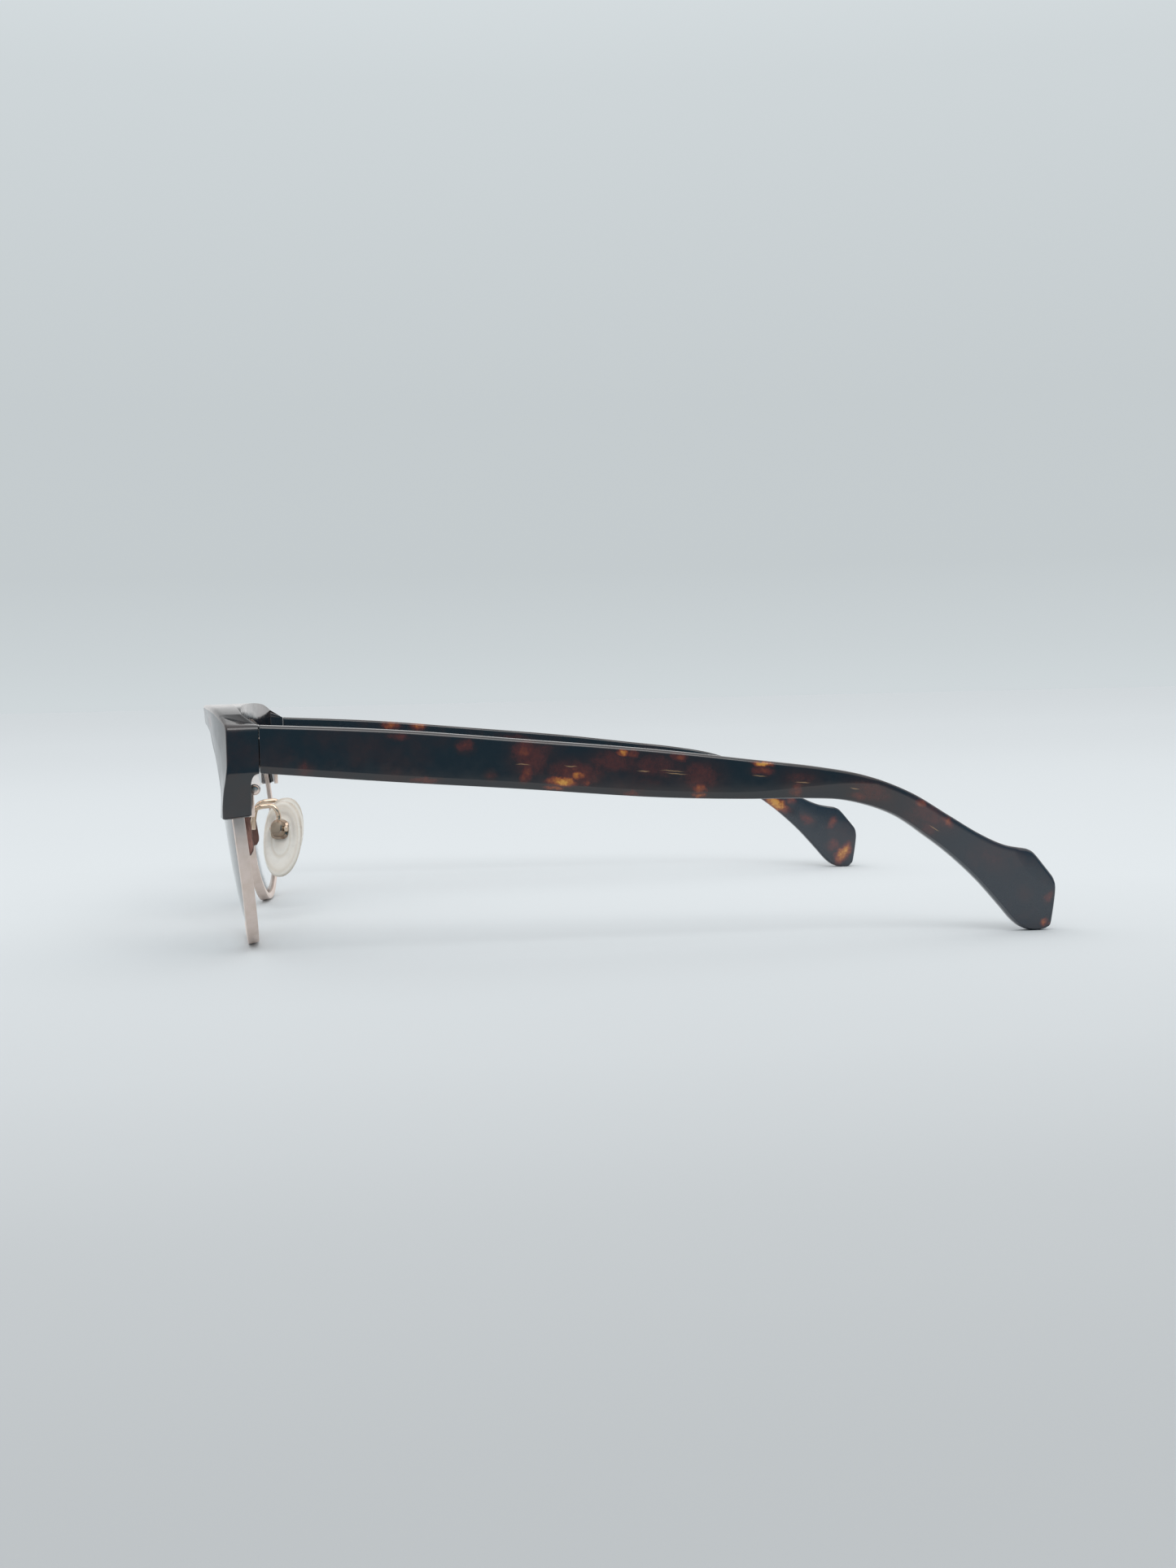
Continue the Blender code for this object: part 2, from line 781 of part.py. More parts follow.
def hinge_screw():
    top = HINGE_TOP + 0.05
    bottom = HINGE_BOTTOM + 0.15
    return rod(
        (PIN_X, PIN_Y, bottom),
        (PIN_X, PIN_Y, top + 1.0),
        (
            (0.0, HINGE_SCREW_R - 0.1),
            (0.15, HINGE_SCREW_R),
            (top - bottom, HINGE_SCREW_R),
            (top - bottom + 0.001, HINGE_HEAD_R),
            (top - bottom + HINGE_HEAD_TALL - 0.2, HINGE_HEAD_R),
            (top - bottom + HINGE_HEAD_TALL, 0.7 * HINGE_HEAD_R),
        ),
        24,
    )


# ---------------------------------------------------------------- rim lock


def lock_face():
    """The y of the lock's plate, just clear of the back of the brow."""
    return front(LOCK_X + LOCK_HALF, LOCK_Z - LOCK_TALL, -BROW_BACK).y + 0.15


def rim_lock():
    """The block that closes the eyewire, on the back of the brow's leg."""
    x = LOCK_X
    y = lock_face()
    axis = y + 1.0
    plate = block((x - LOCK_HALF, y, LOCK_Z - LOCK_TALL), (x + LOCK_HALF, y + LOCK_THICK, LOCK_Z))
    length = 2 * LOCK_BARREL_HALF
    start = (x - LOCK_BARREL_HALF, axis, LOCK_Z)
    end = (x + LOCK_BARREL_HALF, axis, LOCK_Z)
    barrel = rod(start, end, ((0.0, LOCK_BARREL_R), (length, LOCK_BARREL_R)), 20)
    hole = rod(start, end, ((-1.0, LOCK_HOLE_R), (length + 1.0, LOCK_HOLE_R)), 16)
    joined = combined(plate, [barrel], "UNION")
    return combined(joined, [hole], "DIFFERENCE")


def rim_screw():
    x = LOCK_X
    axis = lock_face() + 1.0
    shank = 2 * LOCK_BARREL_HALF
    return rod(
        (x - LOCK_BARREL_HALF + 0.1, axis, LOCK_Z),
        (x + LOCK_BARREL_HALF, axis, LOCK_Z),
        (
            (0.0, RIM_SCREW_R),
            (shank, RIM_SCREW_R),
            (shank + 0.001, RIM_SCREW_HEAD_R),
            (shank + 0.2, RIM_SCREW_HEAD_R),
            (shank + 0.35, 0.7 * RIM_SCREW_HEAD_R),
        ),
        16,
    )


# ---------------------------------------------------------------- bridge


def bridge():
    steps = 28
    t = rim_fraction(BRIDGE_END_Z, -1)
    end_x = rim_at(t)[0][0] - 0.25
    end_y = front(end_x, BRIDGE_END_Z).y
    rings = []
    for i in range(steps + 1):
        f = -1 + 2 * i / steps
        a = abs(f)
        z = BRIDGE_END_Z + BRIDGE_RISE * (1 - a ** 2.2)
        y = end_y - 1.1 * (1 - a ** 2)
        tall = BRIDGE_TALL / 2 * (1 + 0.35 * a ** 3)
        deep = BRIDGE_DEEP / 2
        x = end_x * f
        slope = -BRIDGE_RISE * 2.2 * a ** 1.2 * (1 if f > 0 else -1) / end_x
        lean = 0.55 * math.atan(slope)
        c, s = math.cos(lean), math.sin(lean)
        if i in (0, steps):
            c, s = 1.0, 0.0
        rings.append(
            [
                Vector((x - s * w, y + d, z + c * w))
                for w, d in (
                    (tall, -deep * 0.4),
                    (tall * 0.72, -deep),
                    (-tall * 0.72, -deep),
                    (-tall, -deep * 0.4),
                    (-tall, deep * 0.4),
                    (-tall * 0.72, deep),
                    (tall * 0.72, deep),
                    (tall, deep * 0.4),
                )
            ]
        )
    return loft(rings)


# ---------------------------------------------------------------- nose pads


def pad_axes():
    facing = Vector(PAD_FACING).normalized()
    up = (Vector((0, 0, 1)) - facing * facing.z).normalized()
    return facing, up, facing.cross(up)


def pad_outline(k, count):
    """Unit outline of the pad: full at the back, flatter in front and narrower below."""
    a = 2 * math.pi * k / count
    tall, wide = math.sin(a), math.cos(a)
    power = 0.86
    up = math.copysign(abs(tall) ** power, tall)
    side = math.copysign(abs(wide) ** power, wide)
    side *= 1.0 - 0.14 * max(0.0, -up) ** 1.5
    side -= 0.10 * (1 - up * up) * (1 if side < 0 else 0) * -1
    return up, side


def nose_pad():
    facing, up, back = pad_axes()
    centre = Vector(PAD_CENTRE)
    count = 24
    levels = (
        (0.35, -0.62),
        (0.78, -0.7),
        (0.94, -0.55),
        (1.0, -0.1),
        (0.97, 0.3),
        (0.84, 0.72),
        (0.6, 0.98),
        (0.3, 1.1),
    )
    rings = []
    for scale, depth in levels:
        ring = []
        for k in range(count):
            tall, side = pad_outline(k, count)
            ring.append(
                centre
                + up * (tall * PAD_LONG / 2 * scale)
                + back * (side * PAD_WIDE / 2 * scale)
                + facing * (depth * PAD_HALF)
            )
        rings.append(ring)
    return loft(rings)


def box_place():
    """Centre of the pad box's open face, beside the pad."""
    facing, up, back = pad_axes()
    return Vector(PAD_CENTRE) + up * BOX_UP - facing * (0.7 * PAD_HALF + PAD_TO_BOX)


def box_ring(place, half_long, half_wide, depth, sides=24):
    facing, up, back = pad_axes()
    ring = []
    for k in range(sides):
        a = 2 * math.pi * (k + 0.5) / sides
        tall = math.copysign(abs(math.sin(a)) ** 0.6, math.sin(a))
        side = math.copysign(abs(math.cos(a)) ** 0.6, math.cos(a))
        ring.append(place + up * tall * half_long + back * side * half_wide - facing * depth)
    return ring


def pad_box():
    place = box_place()
    long, wide = BOX_LONG / 2, BOX_WIDE / 2
    inner_long, inner_wide = long - BOX_RIM, wide - BOX_RIM
    rings = [
        box_ring(place, inner_long, inner_wide, BOX_DEEP - BOX_WALL),
        box_ring(place, inner_long, inner_wide, 0.0),
        box_ring(place, long, wide, 0.0),
        box_ring(place, long, wide, 0.35),
        box_ring(place, long - 0.45, wide - 0.45, 0.6),
        box_ring(place, long - 0.6, wide - 0.6, BOX_DEEP - 0.3),
        box_ring(place, long - 0.85, wide - 0.85, BOX_DEEP),
    ]
    return combined(loft(rings), [pad_bore(PAD_BORE_R)], "DIFFERENCE")


def rock_centre():
    facing, up, back = pad_axes()
    return box_place() - facing * (BOX_DEEP * 0.55)


def pad_bore(radius):
    facing, up, back = pad_axes()
    middle = rock_centre()
    return rod(middle - back * 5, middle + back * 5, ((0.0, radius), (10.0, radius)), 16)


def pad_insert():
    """The tab on the back of the pad that the screw passes through."""
    facing, up, back = pad_axes()
    place = box_place()
    long = BOX_LONG / 2 - BOX_RIM - BOX_PLAY
    wide = BOX_WIDE / 2 - BOX_RIM - BOX_PLAY / 2
    start = -PAD_TO_BOX + 0.06
    end = BOX_DEEP - BOX_WALL - 0.3
    rings = [
        box_ring(place, long, wide, start, 16),
        box_ring(place, long, wide, end - 0.2, 16),
        box_ring(place, long - 0.2, wide - 0.2, end, 16),
    ]
    return combined(loft(rings), [pad_bore(PAD_BORE_R)], "DIFFERENCE")


def pad_screw():
    facing, up, back = pad_axes()
    middle = rock_centre()
    half = BOX_WIDE / 2
    start = middle - back * (half - 0.25)
    return rod(
        start,
        start + back * 6,
        (
            (0.0, PAD_SCREW_R - 0.08),
            (0.1, PAD_SCREW_R),
            (2 * half - 0.5, PAD_SCREW_R),
            (2 * half - 0.499, PAD_SCREW_HEAD_R),
            (2 * half - 0.1, PAD_SCREW_HEAD_R),
            (2 * half + 0.05, 0.7 * PAD_SCREW_HEAD_R),
        ),
        20,
    )


def pad_foot():
    """The plate that holds the pad arm, along the nose side of the eyewire."""
    low = rim_fraction_low(FOOT_LOW)
    high = rim_fraction_low(FOOT_HIGH)
    rings = []
    steps = 10
    for i in range(steps + 1):
        t = low + (high - low) * i / steps
        end = min(i, steps - i)
        back = FOOT_DEEP - (0.7 if end == 0 else 0.15 if end == 1 else 0.0)
        ahead = 0.5 - (0.4 if end == 0 else 0.0)
        rings.append(
            [
                front(*rim_out(t, 0.12), ahead),
                front(*rim_out(t, 0.75), ahead - 0.1),
                front(*rim_out(t, 0.85), ahead - 0.25),
                front(*rim_out(t, 0.85), -back + 0.1),
                front(*rim_out(t, 0.7), -back),
                front(*rim_out(t, 0.25), -back),
                front(*rim_out(t, 0.12), -back + 0.1),
            ]
        )
    return loft(rings)


def rim_fraction_low(height):
    """The fraction round the eyewire at the given height on the nose side."""
    count = len(RIM_FINE)
    best = min(
        range(count // 2, count),
        key=lambda i: abs(RIM_FINE[i][1] - height),
    )
    return best / count


def pad_arm():
    """The round wire from the foot up and back to the pad box."""
    place = box_place()
    facing, up, back = pad_axes()
    end = place + up * (BOX_LONG / 2 - 0.35) - facing * (BOX_DEEP * 0.5)
    path = [Vector(p) for p in ARM_PATH]
    path += [end + up * 0.9 - facing * 0.05, end + up * 0.05]
    steps = 28
    last = len(path) - 1
    centres = [Vector(spline(path, last * i / steps)) for i in range(steps + 1)]
    rings = []
    side = Vector((1, 0, 0))
    for i, centre in enumerate(centres):
        along = (centres[min(i + 1, steps)] - centres[max(i - 1, 0)]).normalized()
        side = (side - along * side.dot(along)).normalized()
        other = along.cross(side)
        r = ARM_R * (0.8 if i in (0, steps) else 1.0)
        turns = [math.pi * k / 4 for k in range(8)]
        rings.append([centre + side * r * math.cos(a) + other * r * math.sin(a) for a in turns])
    return loft(rings)


# ---------------------------------------------------------------- the whole object


def main():
    clear_scene()
    acetate = material("tortoise_acetate", (0.035, 0.02, 0.014), 0.12)
    metal = material("rose_gold", (0.72, 0.50, 0.40), 0.22, metallic=1.0)
    glass = material("demo_lens", (0.9, 0.95, 0.96), 0.03, alpha=0.25, transmission=0.6)
    silicone = material("nose_pad_silicone", (0.72, 0.66, 0.58), 0.35, alpha=0.85)
    spring = material("core_wire_brass", (0.75, 0.55, 0.25), 0.3, metallic=1.0)

    pin = (PIN_X, PIN_Y, (HINGE_TOP + HINGE_BOTTOM) / 2)
    rock = tuple(rock_centre())

    both("brow", brow(), acetate)
    both("eyewire", eyewire(), metal)
    both("lens", lens(), glass)
    make("bridge", bridge(), metal)
    both("rim_lock", rim_lock(), metal)
    both("rim_screw", rim_screw(), metal)
    both("front_leaf", front_leaf(), metal)
    both("hinge_screw", hinge_screw(), metal)
    both("pad_foot", pad_foot(), metal)
    both("pad_arm", pad_arm(), metal)
    both("pad_box", pad_box(), metal)
    both("pad_screw", pad_screw(), metal)
    both("temple", temple(), acetate, pin)
    both("temple_leaf", temple_leaf(), metal, pin)
    both("core_wire", core_wire(), spring, pin)
    both("nose_pad", nose_pad(), silicone, rock)
    both("pad_insert", pad_insert(), silicone, rock)


main()
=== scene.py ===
"""Looks of the browline eyeglasses: finer shells, polished acetate and metal, a pale studio.

Shapes are worked out in millimetres, with y counted from the joint between end piece and
temple. shell() and camera() turn them into the model's frame: metres, with the origin on the floor.
"""

import json
import math

import bmesh
import bpy
from mathutils import Matrix, Vector

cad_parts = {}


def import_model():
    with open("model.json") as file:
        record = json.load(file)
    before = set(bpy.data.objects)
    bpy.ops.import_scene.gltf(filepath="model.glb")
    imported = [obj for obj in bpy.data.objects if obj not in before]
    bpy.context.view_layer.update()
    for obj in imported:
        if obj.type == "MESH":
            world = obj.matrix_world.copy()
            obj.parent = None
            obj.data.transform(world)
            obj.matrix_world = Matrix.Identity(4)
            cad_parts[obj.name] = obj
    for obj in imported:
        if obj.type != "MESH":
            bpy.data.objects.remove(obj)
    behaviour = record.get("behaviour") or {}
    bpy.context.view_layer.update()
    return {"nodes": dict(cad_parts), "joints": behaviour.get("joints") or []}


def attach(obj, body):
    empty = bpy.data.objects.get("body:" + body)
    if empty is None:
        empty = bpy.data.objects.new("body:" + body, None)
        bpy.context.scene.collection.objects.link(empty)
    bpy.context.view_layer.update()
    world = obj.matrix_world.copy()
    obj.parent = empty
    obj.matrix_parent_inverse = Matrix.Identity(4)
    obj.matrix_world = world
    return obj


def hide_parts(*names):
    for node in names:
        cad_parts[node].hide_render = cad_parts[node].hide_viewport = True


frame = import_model()

MM = 0.001
# Each side, and whether its shapes are mirrored.
SIDES = {"left": False, "right": True}
# The hinge pins stand this far behind the joint, which places the joint in the frame.
PIN_Y = 0.35
FOLD = next(joint for joint in frame["joints"] if joint["name"] == "left_temple_fold")
MID_Y = PIN_Y - FOLD["pos_m"][1] / MM

# The curved surface that carries the lenses and the eyewires.
LENS_X = 36.0
LENS_Z = 21.35
FRONT_Y = -6.86
WRAP = 0.063
TILT = 0.114
LENS_RADIUS = 227.0

# Outside of the eyewire round the lens centre, clockwise from the top: (away from the nose, up).
RIM_SHAPE = (
    (0.0, 19.6),
    (10.0, 19.2),
    (18.5, 16.6),
    (24.2, 10.6),
    (26.4, 2.0),
    (24.6, -8.0),
    (18.0, -15.6),
    (9.0, -20.0),
    (0.0, -21.18),
    (-9.0, -19.6),
    (-17.5, -14.4),
    (-23.0, -6.0),
    (-25.4, 3.0),
    (-24.4, 11.5),
    (-18.5, 17.4),
    (-9.5, 19.4),
)
RIM_DEPTH = 2.0
RIM_WALL = 1.3
GROOVE = 0.55
GROOVE_HALF = 0.5
# The eyewire's split, at the height of the rim lock.
RIM_GAP = 0.3
LOCK_Z = 29.3
# The lens clears the groove's bottom, and its front edge steps in from its rim.
LENS_PLAY = 0.12
LENS_STEP = 0.45
# The lens front from the middle outwards: (share of the radius, distance in front of the surface).
LENS_FRONT = ((0.02, 1.0), (0.2, 0.99), (0.4, 0.96), (0.6, 0.88), (0.8, 0.74), (0.92, 0.6), (1.0, 0.5))
LENS_BACK = 0.62
LENS_CROWN = 0.1
LENS_EDGE_BACK = 0.4

# Ribs of the brow: (height on the eyewire, side of it, outer edge x, outer edge z,
# how far the brow stands in front of the surface at the eyewire, and at the outer edge).
BROW_RIBS = (
    (33.6, -1, 10.3, 33.6, 2.6, 2.6),
    (36.4, -1, 10.9, 37.4, 2.7, 2.8),
    (38.6, -1, 12.6, 40.9, 2.7, 2.85),
    (39.9, -1, 16.6, 42.9, 2.7, 2.85),
    (40.6, -1, 25.0, 43.5, 2.7, 2.85),
    (40.95, 1, 36.0, 43.7, 2.6, 2.85),
    (40.6, 1, 45.5, 43.8, 2.4, 2.85),
    (38.9, 1, 54.0, 43.7, 2.2, 2.75),
    (36.2, 1, 60.5, 43.3, 2.2, 2.6),
    (34.2, 1, 66.2, 42.2, 2.2, 2.3),
    (33.2, 1, 69.4, 41.0, 2.2, 2.05),
    (32.6, 1, 70.7, 40.3, 2.2, 1.95),
    (32.0, 1, 71.2, 38.9, 2.2, 1.95),
    (30.8, 1, 71.2, 34.6, 2.2, 2.15),
    (30.0, 1, 71.2, 32.6, 2.2, 2.45),
    (29.2, 1, 71.0, 31.3, 2.25, 2.7),
    (28.2, 1, 70.4, 29.8, 2.35, 3.0),
    (26.6, 1, 69.2, 27.3, 2.6, 3.3),
    (25.2, 1, 67.9, 25.2, 2.85, 3.35),
)
BROW_BACK = 1.6
BROW_ROUND = 1.0
BROW_BACK_ROUND = 0.7
# The ribs start this far outside the eyewire, and the fine brow stays this far inside the CAD
# one at its outline and at its front.
BROW_HEM = 0.75
BROW_TRIM = 0.08
BROW_FRONT_TRIM = 0.02
# How far the brow's lips reach over the eyewire, and its channel round the eyewire.
FRONT_LIP = 1.0
BACK_LIP = 0.8
CHANNEL = 0.1
CHANNEL_TOP = 0.12
# Steps (share, inset) that ease the brow's two ends, each a little further along the eyewire.
BROW_ENDS = ((0.4, 0.03), (1.0, 0.3))
BROW_END_TURN = 0.0025
BROW_END_DROP = 0.3
# The end piece reaches back from this x on, to the joint with the temple.
END_INNER_X = 66.6
END_EASE = 4.0
JOINT_GAP = 0.06
JOINT_TOP = 40.2
JOINT_BOTTOM = 32.3
JOINT_FILLET = 2.1

# Temple: its edges are (top y, top z, bottom y, bottom z), and the tip has one list for each edge.
TEMPLE_OUTER_X = 71.2
TEMPLE_INWARD = 6.4
TEMPLE_THICK = 4.6
TIP_THICK = 3.2
TIP_Y = 138.0
TEMPLE_EDGES = (
    (0.0, 40.2, 0.0, 32.3),
    (22.0, 38.84, 21.5, 30.23),
    (44.0, 36.67, 43.0, 28.37),
    (66.0, 34.41, 65.0, 26.3),
    (83.0, 32.21, 81.0, 25.4),
    (95.0, 30.59, 93.0, 25.08),
    (104.0, 28.74, 101.0, 24.33),
    (112.0, 25.59, 109.0, 21.68),
    (119.0, 21.34, 115.5, 17.32),
    (124.5, 17.97, 120.0, 13.8),
    (129.3, 15.7, 124.8, 9.3),
    (133.6, 14.8, 129.4, 4.1),
)
TIP_UPPER = (
    (133.6, 14.8),
    (134.6, 14.35),
    (135.5, 13.5),
    (137.0, 11.65),
    (138.0, 10.4),
    (138.7, 9.4),
    (138.98, 8.3),
    (138.98, 7.0),
    (138.65, 4.5),
    (138.25, 2.2),
    (137.95, 1.15),
)
TIP_LOWER = (
    (129.4, 4.1),
    (130.3, 3.0),
    (131.2, 2.0),
    (132.2, 1.1),
    (133.0, 0.6),
    (133.7, 0.3),
    (134.3, 0.12),
    (135.0, 0.0),
    (135.7, 0.0),
    (136.4, 0.0),
    (136.95, 0.12),
)
# The bevel on the lower outer edge, which widens over the ear.
BEVEL = 1.1
BEVEL_IN = 0.45
BEVEL_GROWTH = 7.5
EAR_Y = 78.0
EAR_LONG = 42.0
# The eased edge at the joint: (distance behind the joint, how far the section is drawn in).
TEMPLE_START = ((0.22, 0.0), (0.14, 0.01), (0.09, 0.03), (JOINT_GAP, 0.06))
# The segments of each rounded corner, and the row of points along the bevel's upper edge.
TEMPLE_SEGMENTS = 6
BEVEL_ROW = 2 * TEMPLE_SEGMENTS + 1
# Sections with a height under this have smaller roundings.
FULL_ROUND_HEIGHT = 3.2

# Nose pads and their arms.
PAD_CENTRE = (8.2, 1.2, 16.7)
PAD_FACING = (-1.0, 0.38, -0.26)
PAD_LONG = 15.2
PAD_WIDE = 8.4
PAD_SQUARENESS = 0.86
PAD_BACK = 0.7
# From the raised ring round the insert, over the rolled rim, to the crowned nose side:
# (share of the outline, depth along the pad's facing, how far the middle lifts to the insert).
PAD_LEVELS = (
    (0.10, -0.6, 1.0),
    (0.26, -0.62, 1.0),
    (0.29, -0.67, 0.9),
    (0.35, -0.68, 0.8),
    (0.41, -0.64, 0.7),
    (0.44, -0.46, 0.6),
    (0.56, -0.44, 0.4),
    (0.66, -0.5, 0.2),
    (0.69, -0.62, 0.1),
    (0.8, -0.6, 0.0),
    (0.88, -0.66, 0.0),
    (0.94, -0.6, 0.0),
    (0.985, -0.36, 0.0),
    (1.0, -0.05, 0.0),
    (0.985, 0.26, 0.0),
    (0.93, 0.52, 0.0),
    (0.82, 0.76, 0.0),
    (0.64, 0.95, 0.0),
    (0.42, 1.05, 0.0),
    (0.2, 1.1, 0.0),
    (0.04, 1.1, 0.0),
)
PAD_LIFT = 1.4
BOX_UP = 1.7
BOX_LONG = 3.9
BOX_DEEP = 2.3
PAD_TO_BOX = 0.4
ARM_R = 0.48
ARM_PATH = (
    (9.35, -5.1, 17.5),
    (9.3, -4.95, 19.3),
    (9.25, -4.6, 21.2),
    (9.2, -4.0, 22.6),
    (9.2, -3.0, 23.2),
    (9.2, -1.5, 23.4),
    (9.3, -0.3, 23.35),
    (9.45, 0.4, 22.5),
)

# Amber and red-brown patches of the tortoiseshell: (y or x, z, half length, half height, heat).
# The broad, faint ones come last.
LEFT_PATCHES = (
    (7.3, 32.8, 1.2, 1.2, 0.32),
    (23.0, 37.7, 1.8, 0.7, 0.38),
    (26.8, 30.3, 2.3, 0.5, 0.45),
    (33.9, 35.9, 1.2, 1.0, 0.42),
    (38.0, 30.9, 1.0, 0.7, 0.3),
    (43.9, 30.9, 1.0, 1.4, 0.52),
    (44.0, 34.9, 1.9, 1.5, 0.48),
    (47.4, 35.1, 1.4, 1.0, 0.3),
    (48.7, 28.4, 1.6, 0.4, 0.6),
    (50.2, 29.4, 2.2, 0.6, 0.88),
    (52.7, 30.3, 1.1, 0.5, 0.72),
    (54.4, 29.0, 0.8, 0.7, 0.5),
    (60.9, 34.0, 1.2, 0.5, 0.8),
    (62.7, 33.7, 0.8, 0.7, 0.45),
    (62.2, 27.1, 1.5, 0.4, 0.45),
    (65.1, 29.0, 3.0, 1.2, 0.25),
    (70.5, 32.9, 1.4, 0.8, 0.5),
    (74.2, 27.5, 1.0, 0.8, 0.62),
    (74.0, 26.2, 1.0, 0.4, 0.66),
    (85.0, 31.4, 1.4, 0.4, 0.98),
    (85.1, 30.2, 1.6, 0.7, 0.5),
    (91.3, 26.6, 1.0, 1.2, 0.48),
    (102.4, 25.2, 1.6, 0.8, 0.42),
    (104.3, 27.4, 3.0, 0.5, 0.22),
    (112.4, 20.9, 2.5, 1.4, 0.25),
    (114.0, 23.5, 1.0, 0.6, 0.55),
    (115.2, 19.0, 1.7, 1.1, 0.35),
    (118.6, 20.1, 1.4, 0.6, 0.56),
    (133.1, 6.8, 1.2, 1.1, 0.2),
    (137.8, 6.0, 0.6, 1.1, 0.42),
    (137.0, 1.4, 0.6, 0.8, 0.66),
    (45.0, 33.5, 3.0, 3.0, 0.38),
    (52.5, 30.8, 4.5, 2.0, 0.42),
    (59.0, 32.5, 4.0, 1.8, 0.36),
    (66.0, 31.5, 5.0, 2.2, 0.33),
    (74.0, 29.5, 3.5, 2.6, 0.36),
    (92.0, 28.5, 3.0, 1.6, 0.3),
    (105.0, 26.0, 4.0, 1.6, 0.34),
    (115.5, 21.5, 4.0, 1.8, 0.34),
    (127.0, 13.5, 3.0, 1.6, 0.24),
)
RIGHT_PATCHES = (
    (25.6, 37.7, 2.0, 1.0, 0.62),
    (32.2, 37.3, 1.6, 1.0, 0.65),
    (43.0, 32.0, 2.2, 1.2, 0.5),
    (55.2, 34.0, 3.9, 0.8, 0.3),
    (68.0, 29.5, 2.4, 1.0, 0.6),
    (81.0, 28.5, 2.0, 1.2, 0.45),
    (97.0, 27.5, 2.6, 0.9, 0.7),
    (108.0, 24.5, 1.8, 0.9, 0.45),
    (119.0, 16.2, 2.9, 1.2, 0.95),
    (122.6, 16.9, 1.2, 1.0, 0.5),
    (126.8, 11.9, 1.6, 1.0, 0.42),
    (133.0, 11.0, 0.9, 1.5, 0.52),
    (135.6, 3.4, 1.2, 2.6, 0.84),
    (133.4, 5.4, 1.5, 1.5, 0.42),
)
BROW_PATCHES = (
    (17.0, 41.6, 2.6, 1.0, 0.45),
    (29.0, 42.6, 3.4, 0.9, 0.6),
    (43.0, 42.2, 2.4, 1.1, 0.4),
    (55.0, 41.0, 2.8, 1.3, 0.5),
)
# Where the core wires glint through the temples, painted as golden highlights: (y, z, half length).
LEFT_GLINTS = (
    (43.5, 32.5, 1.1),
    (51.7, 31.9, 1.0),
    (64.2, 30.7, 1.0),
    (69.2, 30.6, 1.9),
    (69.9, 30.1, 1.7),
    (84.6, 29.3, 1.1),
    (92.3, 27.9, 1.2),
    (101.8, 26.5, 0.8),
    (116.4, 19.0, 1.0),
)
RIGHT_GLINTS = (
    (47.0, 32.0, 1.2),
    (66.0, 30.2, 1.4),
    (97.0, 27.0, 1.2),
)


# ---------------------------------------------------------------- curves and shells


def lerp(a, b, t):
    return tuple(p + (q - p) * t for p, q in zip(a, b))


def spline(points, t, closed=False):
    """A point on the smooth curve through the given points, t counted in points."""
    count = len(points)
    k = math.floor(t)
    if not closed:
        k = min(max(k, 0), count - 2)
    f = t - k

    def pick(i):
        return points[i % count] if closed else points[min(max(i, 0), count - 1)]

    p0, p1, p2, p3 = pick(k - 1), pick(k), pick(k + 1), pick(k + 2)
    return tuple(
        0.5 * (2 * b + (c - a) * f + (2 * a - 5 * b + 4 * c - d) * f * f + (3 * b - a - 3 * c + d) * f ** 3)
        for a, b, c, d in zip(p0, p1, p2, p3)
    )


def towards(a, b, distance):
    """The point a moved towards b by the distance."""
    length = math.dist(a, b)
    return lerp(a, b, distance / length) if length > 1e-9 else a


def rounded(corners, segments):
    """The closed ring with each corner (point, radius) eased by a short curve."""
    ring = []
    count = len(corners)
    for i, (point, radius) in enumerate(corners):
        before, after = corners[i - 1][0], corners[(i + 1) % count][0]
        room = 0.48 * min(math.dist(point, before), math.dist(point, after))
        reach = min(radius, room)
        start, end = towards(point, before, reach), towards(point, after, reach)
        for j in range(segments + 1):
            f = j / segments
            ring.append(lerp(lerp(start, point, f), lerp(point, end, f), f))
    return ring


def shell(name, rings, mirror, crease, sharp_row=None):
    """A solid skinned over the rings of (x, y, z) points, with a cap on each end.

    Edges that fold by more than crease degrees are sharp, and so are those along the sharp row.
    """
    size = len(rings[0])
    count = len(rings)
    flip = -1.0 if mirror else 1.0
    points = [(flip * x * MM, (y - MID_Y) * MM, max(0.0, z) * MM) for ring in rings for x, y, z in ring]
    faces = []
    for i in range(count - 1):
        for k in range(size):
            m = (k + 1) % size
            faces.append((i * size + k, i * size + m, (i + 1) * size + m, (i + 1) * size + k))
    faces.append(tuple(reversed(range(size))))
    faces.append(tuple(range((count - 1) * size, count * size)))
    mesh = bpy.data.meshes.new(name)
    mesh.from_pydata(points, [], faces)
    body = bmesh.new()
    body.from_mesh(mesh)
    if body.calc_volume(signed=True) < 0:
        bmesh.ops.reverse_faces(body, faces=body.faces)
    for face in body.faces:
        face.smooth = True
    for edge in body.edges:
        low, high = sorted(v.index for v in edge.verts)
        along = high - low == size
        folded = len(edge.link_faces) == 2 and edge.calc_face_angle(0.0) > math.radians(crease)
        edge.smooth = not (folded or (along and low % size == sharp_row))
    bmesh.ops.triangulate(body, faces=[f for f in body.faces if len(f.verts) > 4])
    body.to_mesh(mesh)
    body.free()
    obj = bpy.data.objects.new(name, mesh)
    bpy.context.scene.collection.objects.link(obj)
    return obj


def put(obj, body, slot, mat, *nodes):
    """The piece rides on its body, takes its material and stands for the CAD nodes."""
    obj.data.materials.clear()
    obj.data.materials.append(mat)
    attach(obj, body)
    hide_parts(*nodes)
    return obj


# ---------------------------------------------------------------- the front surface


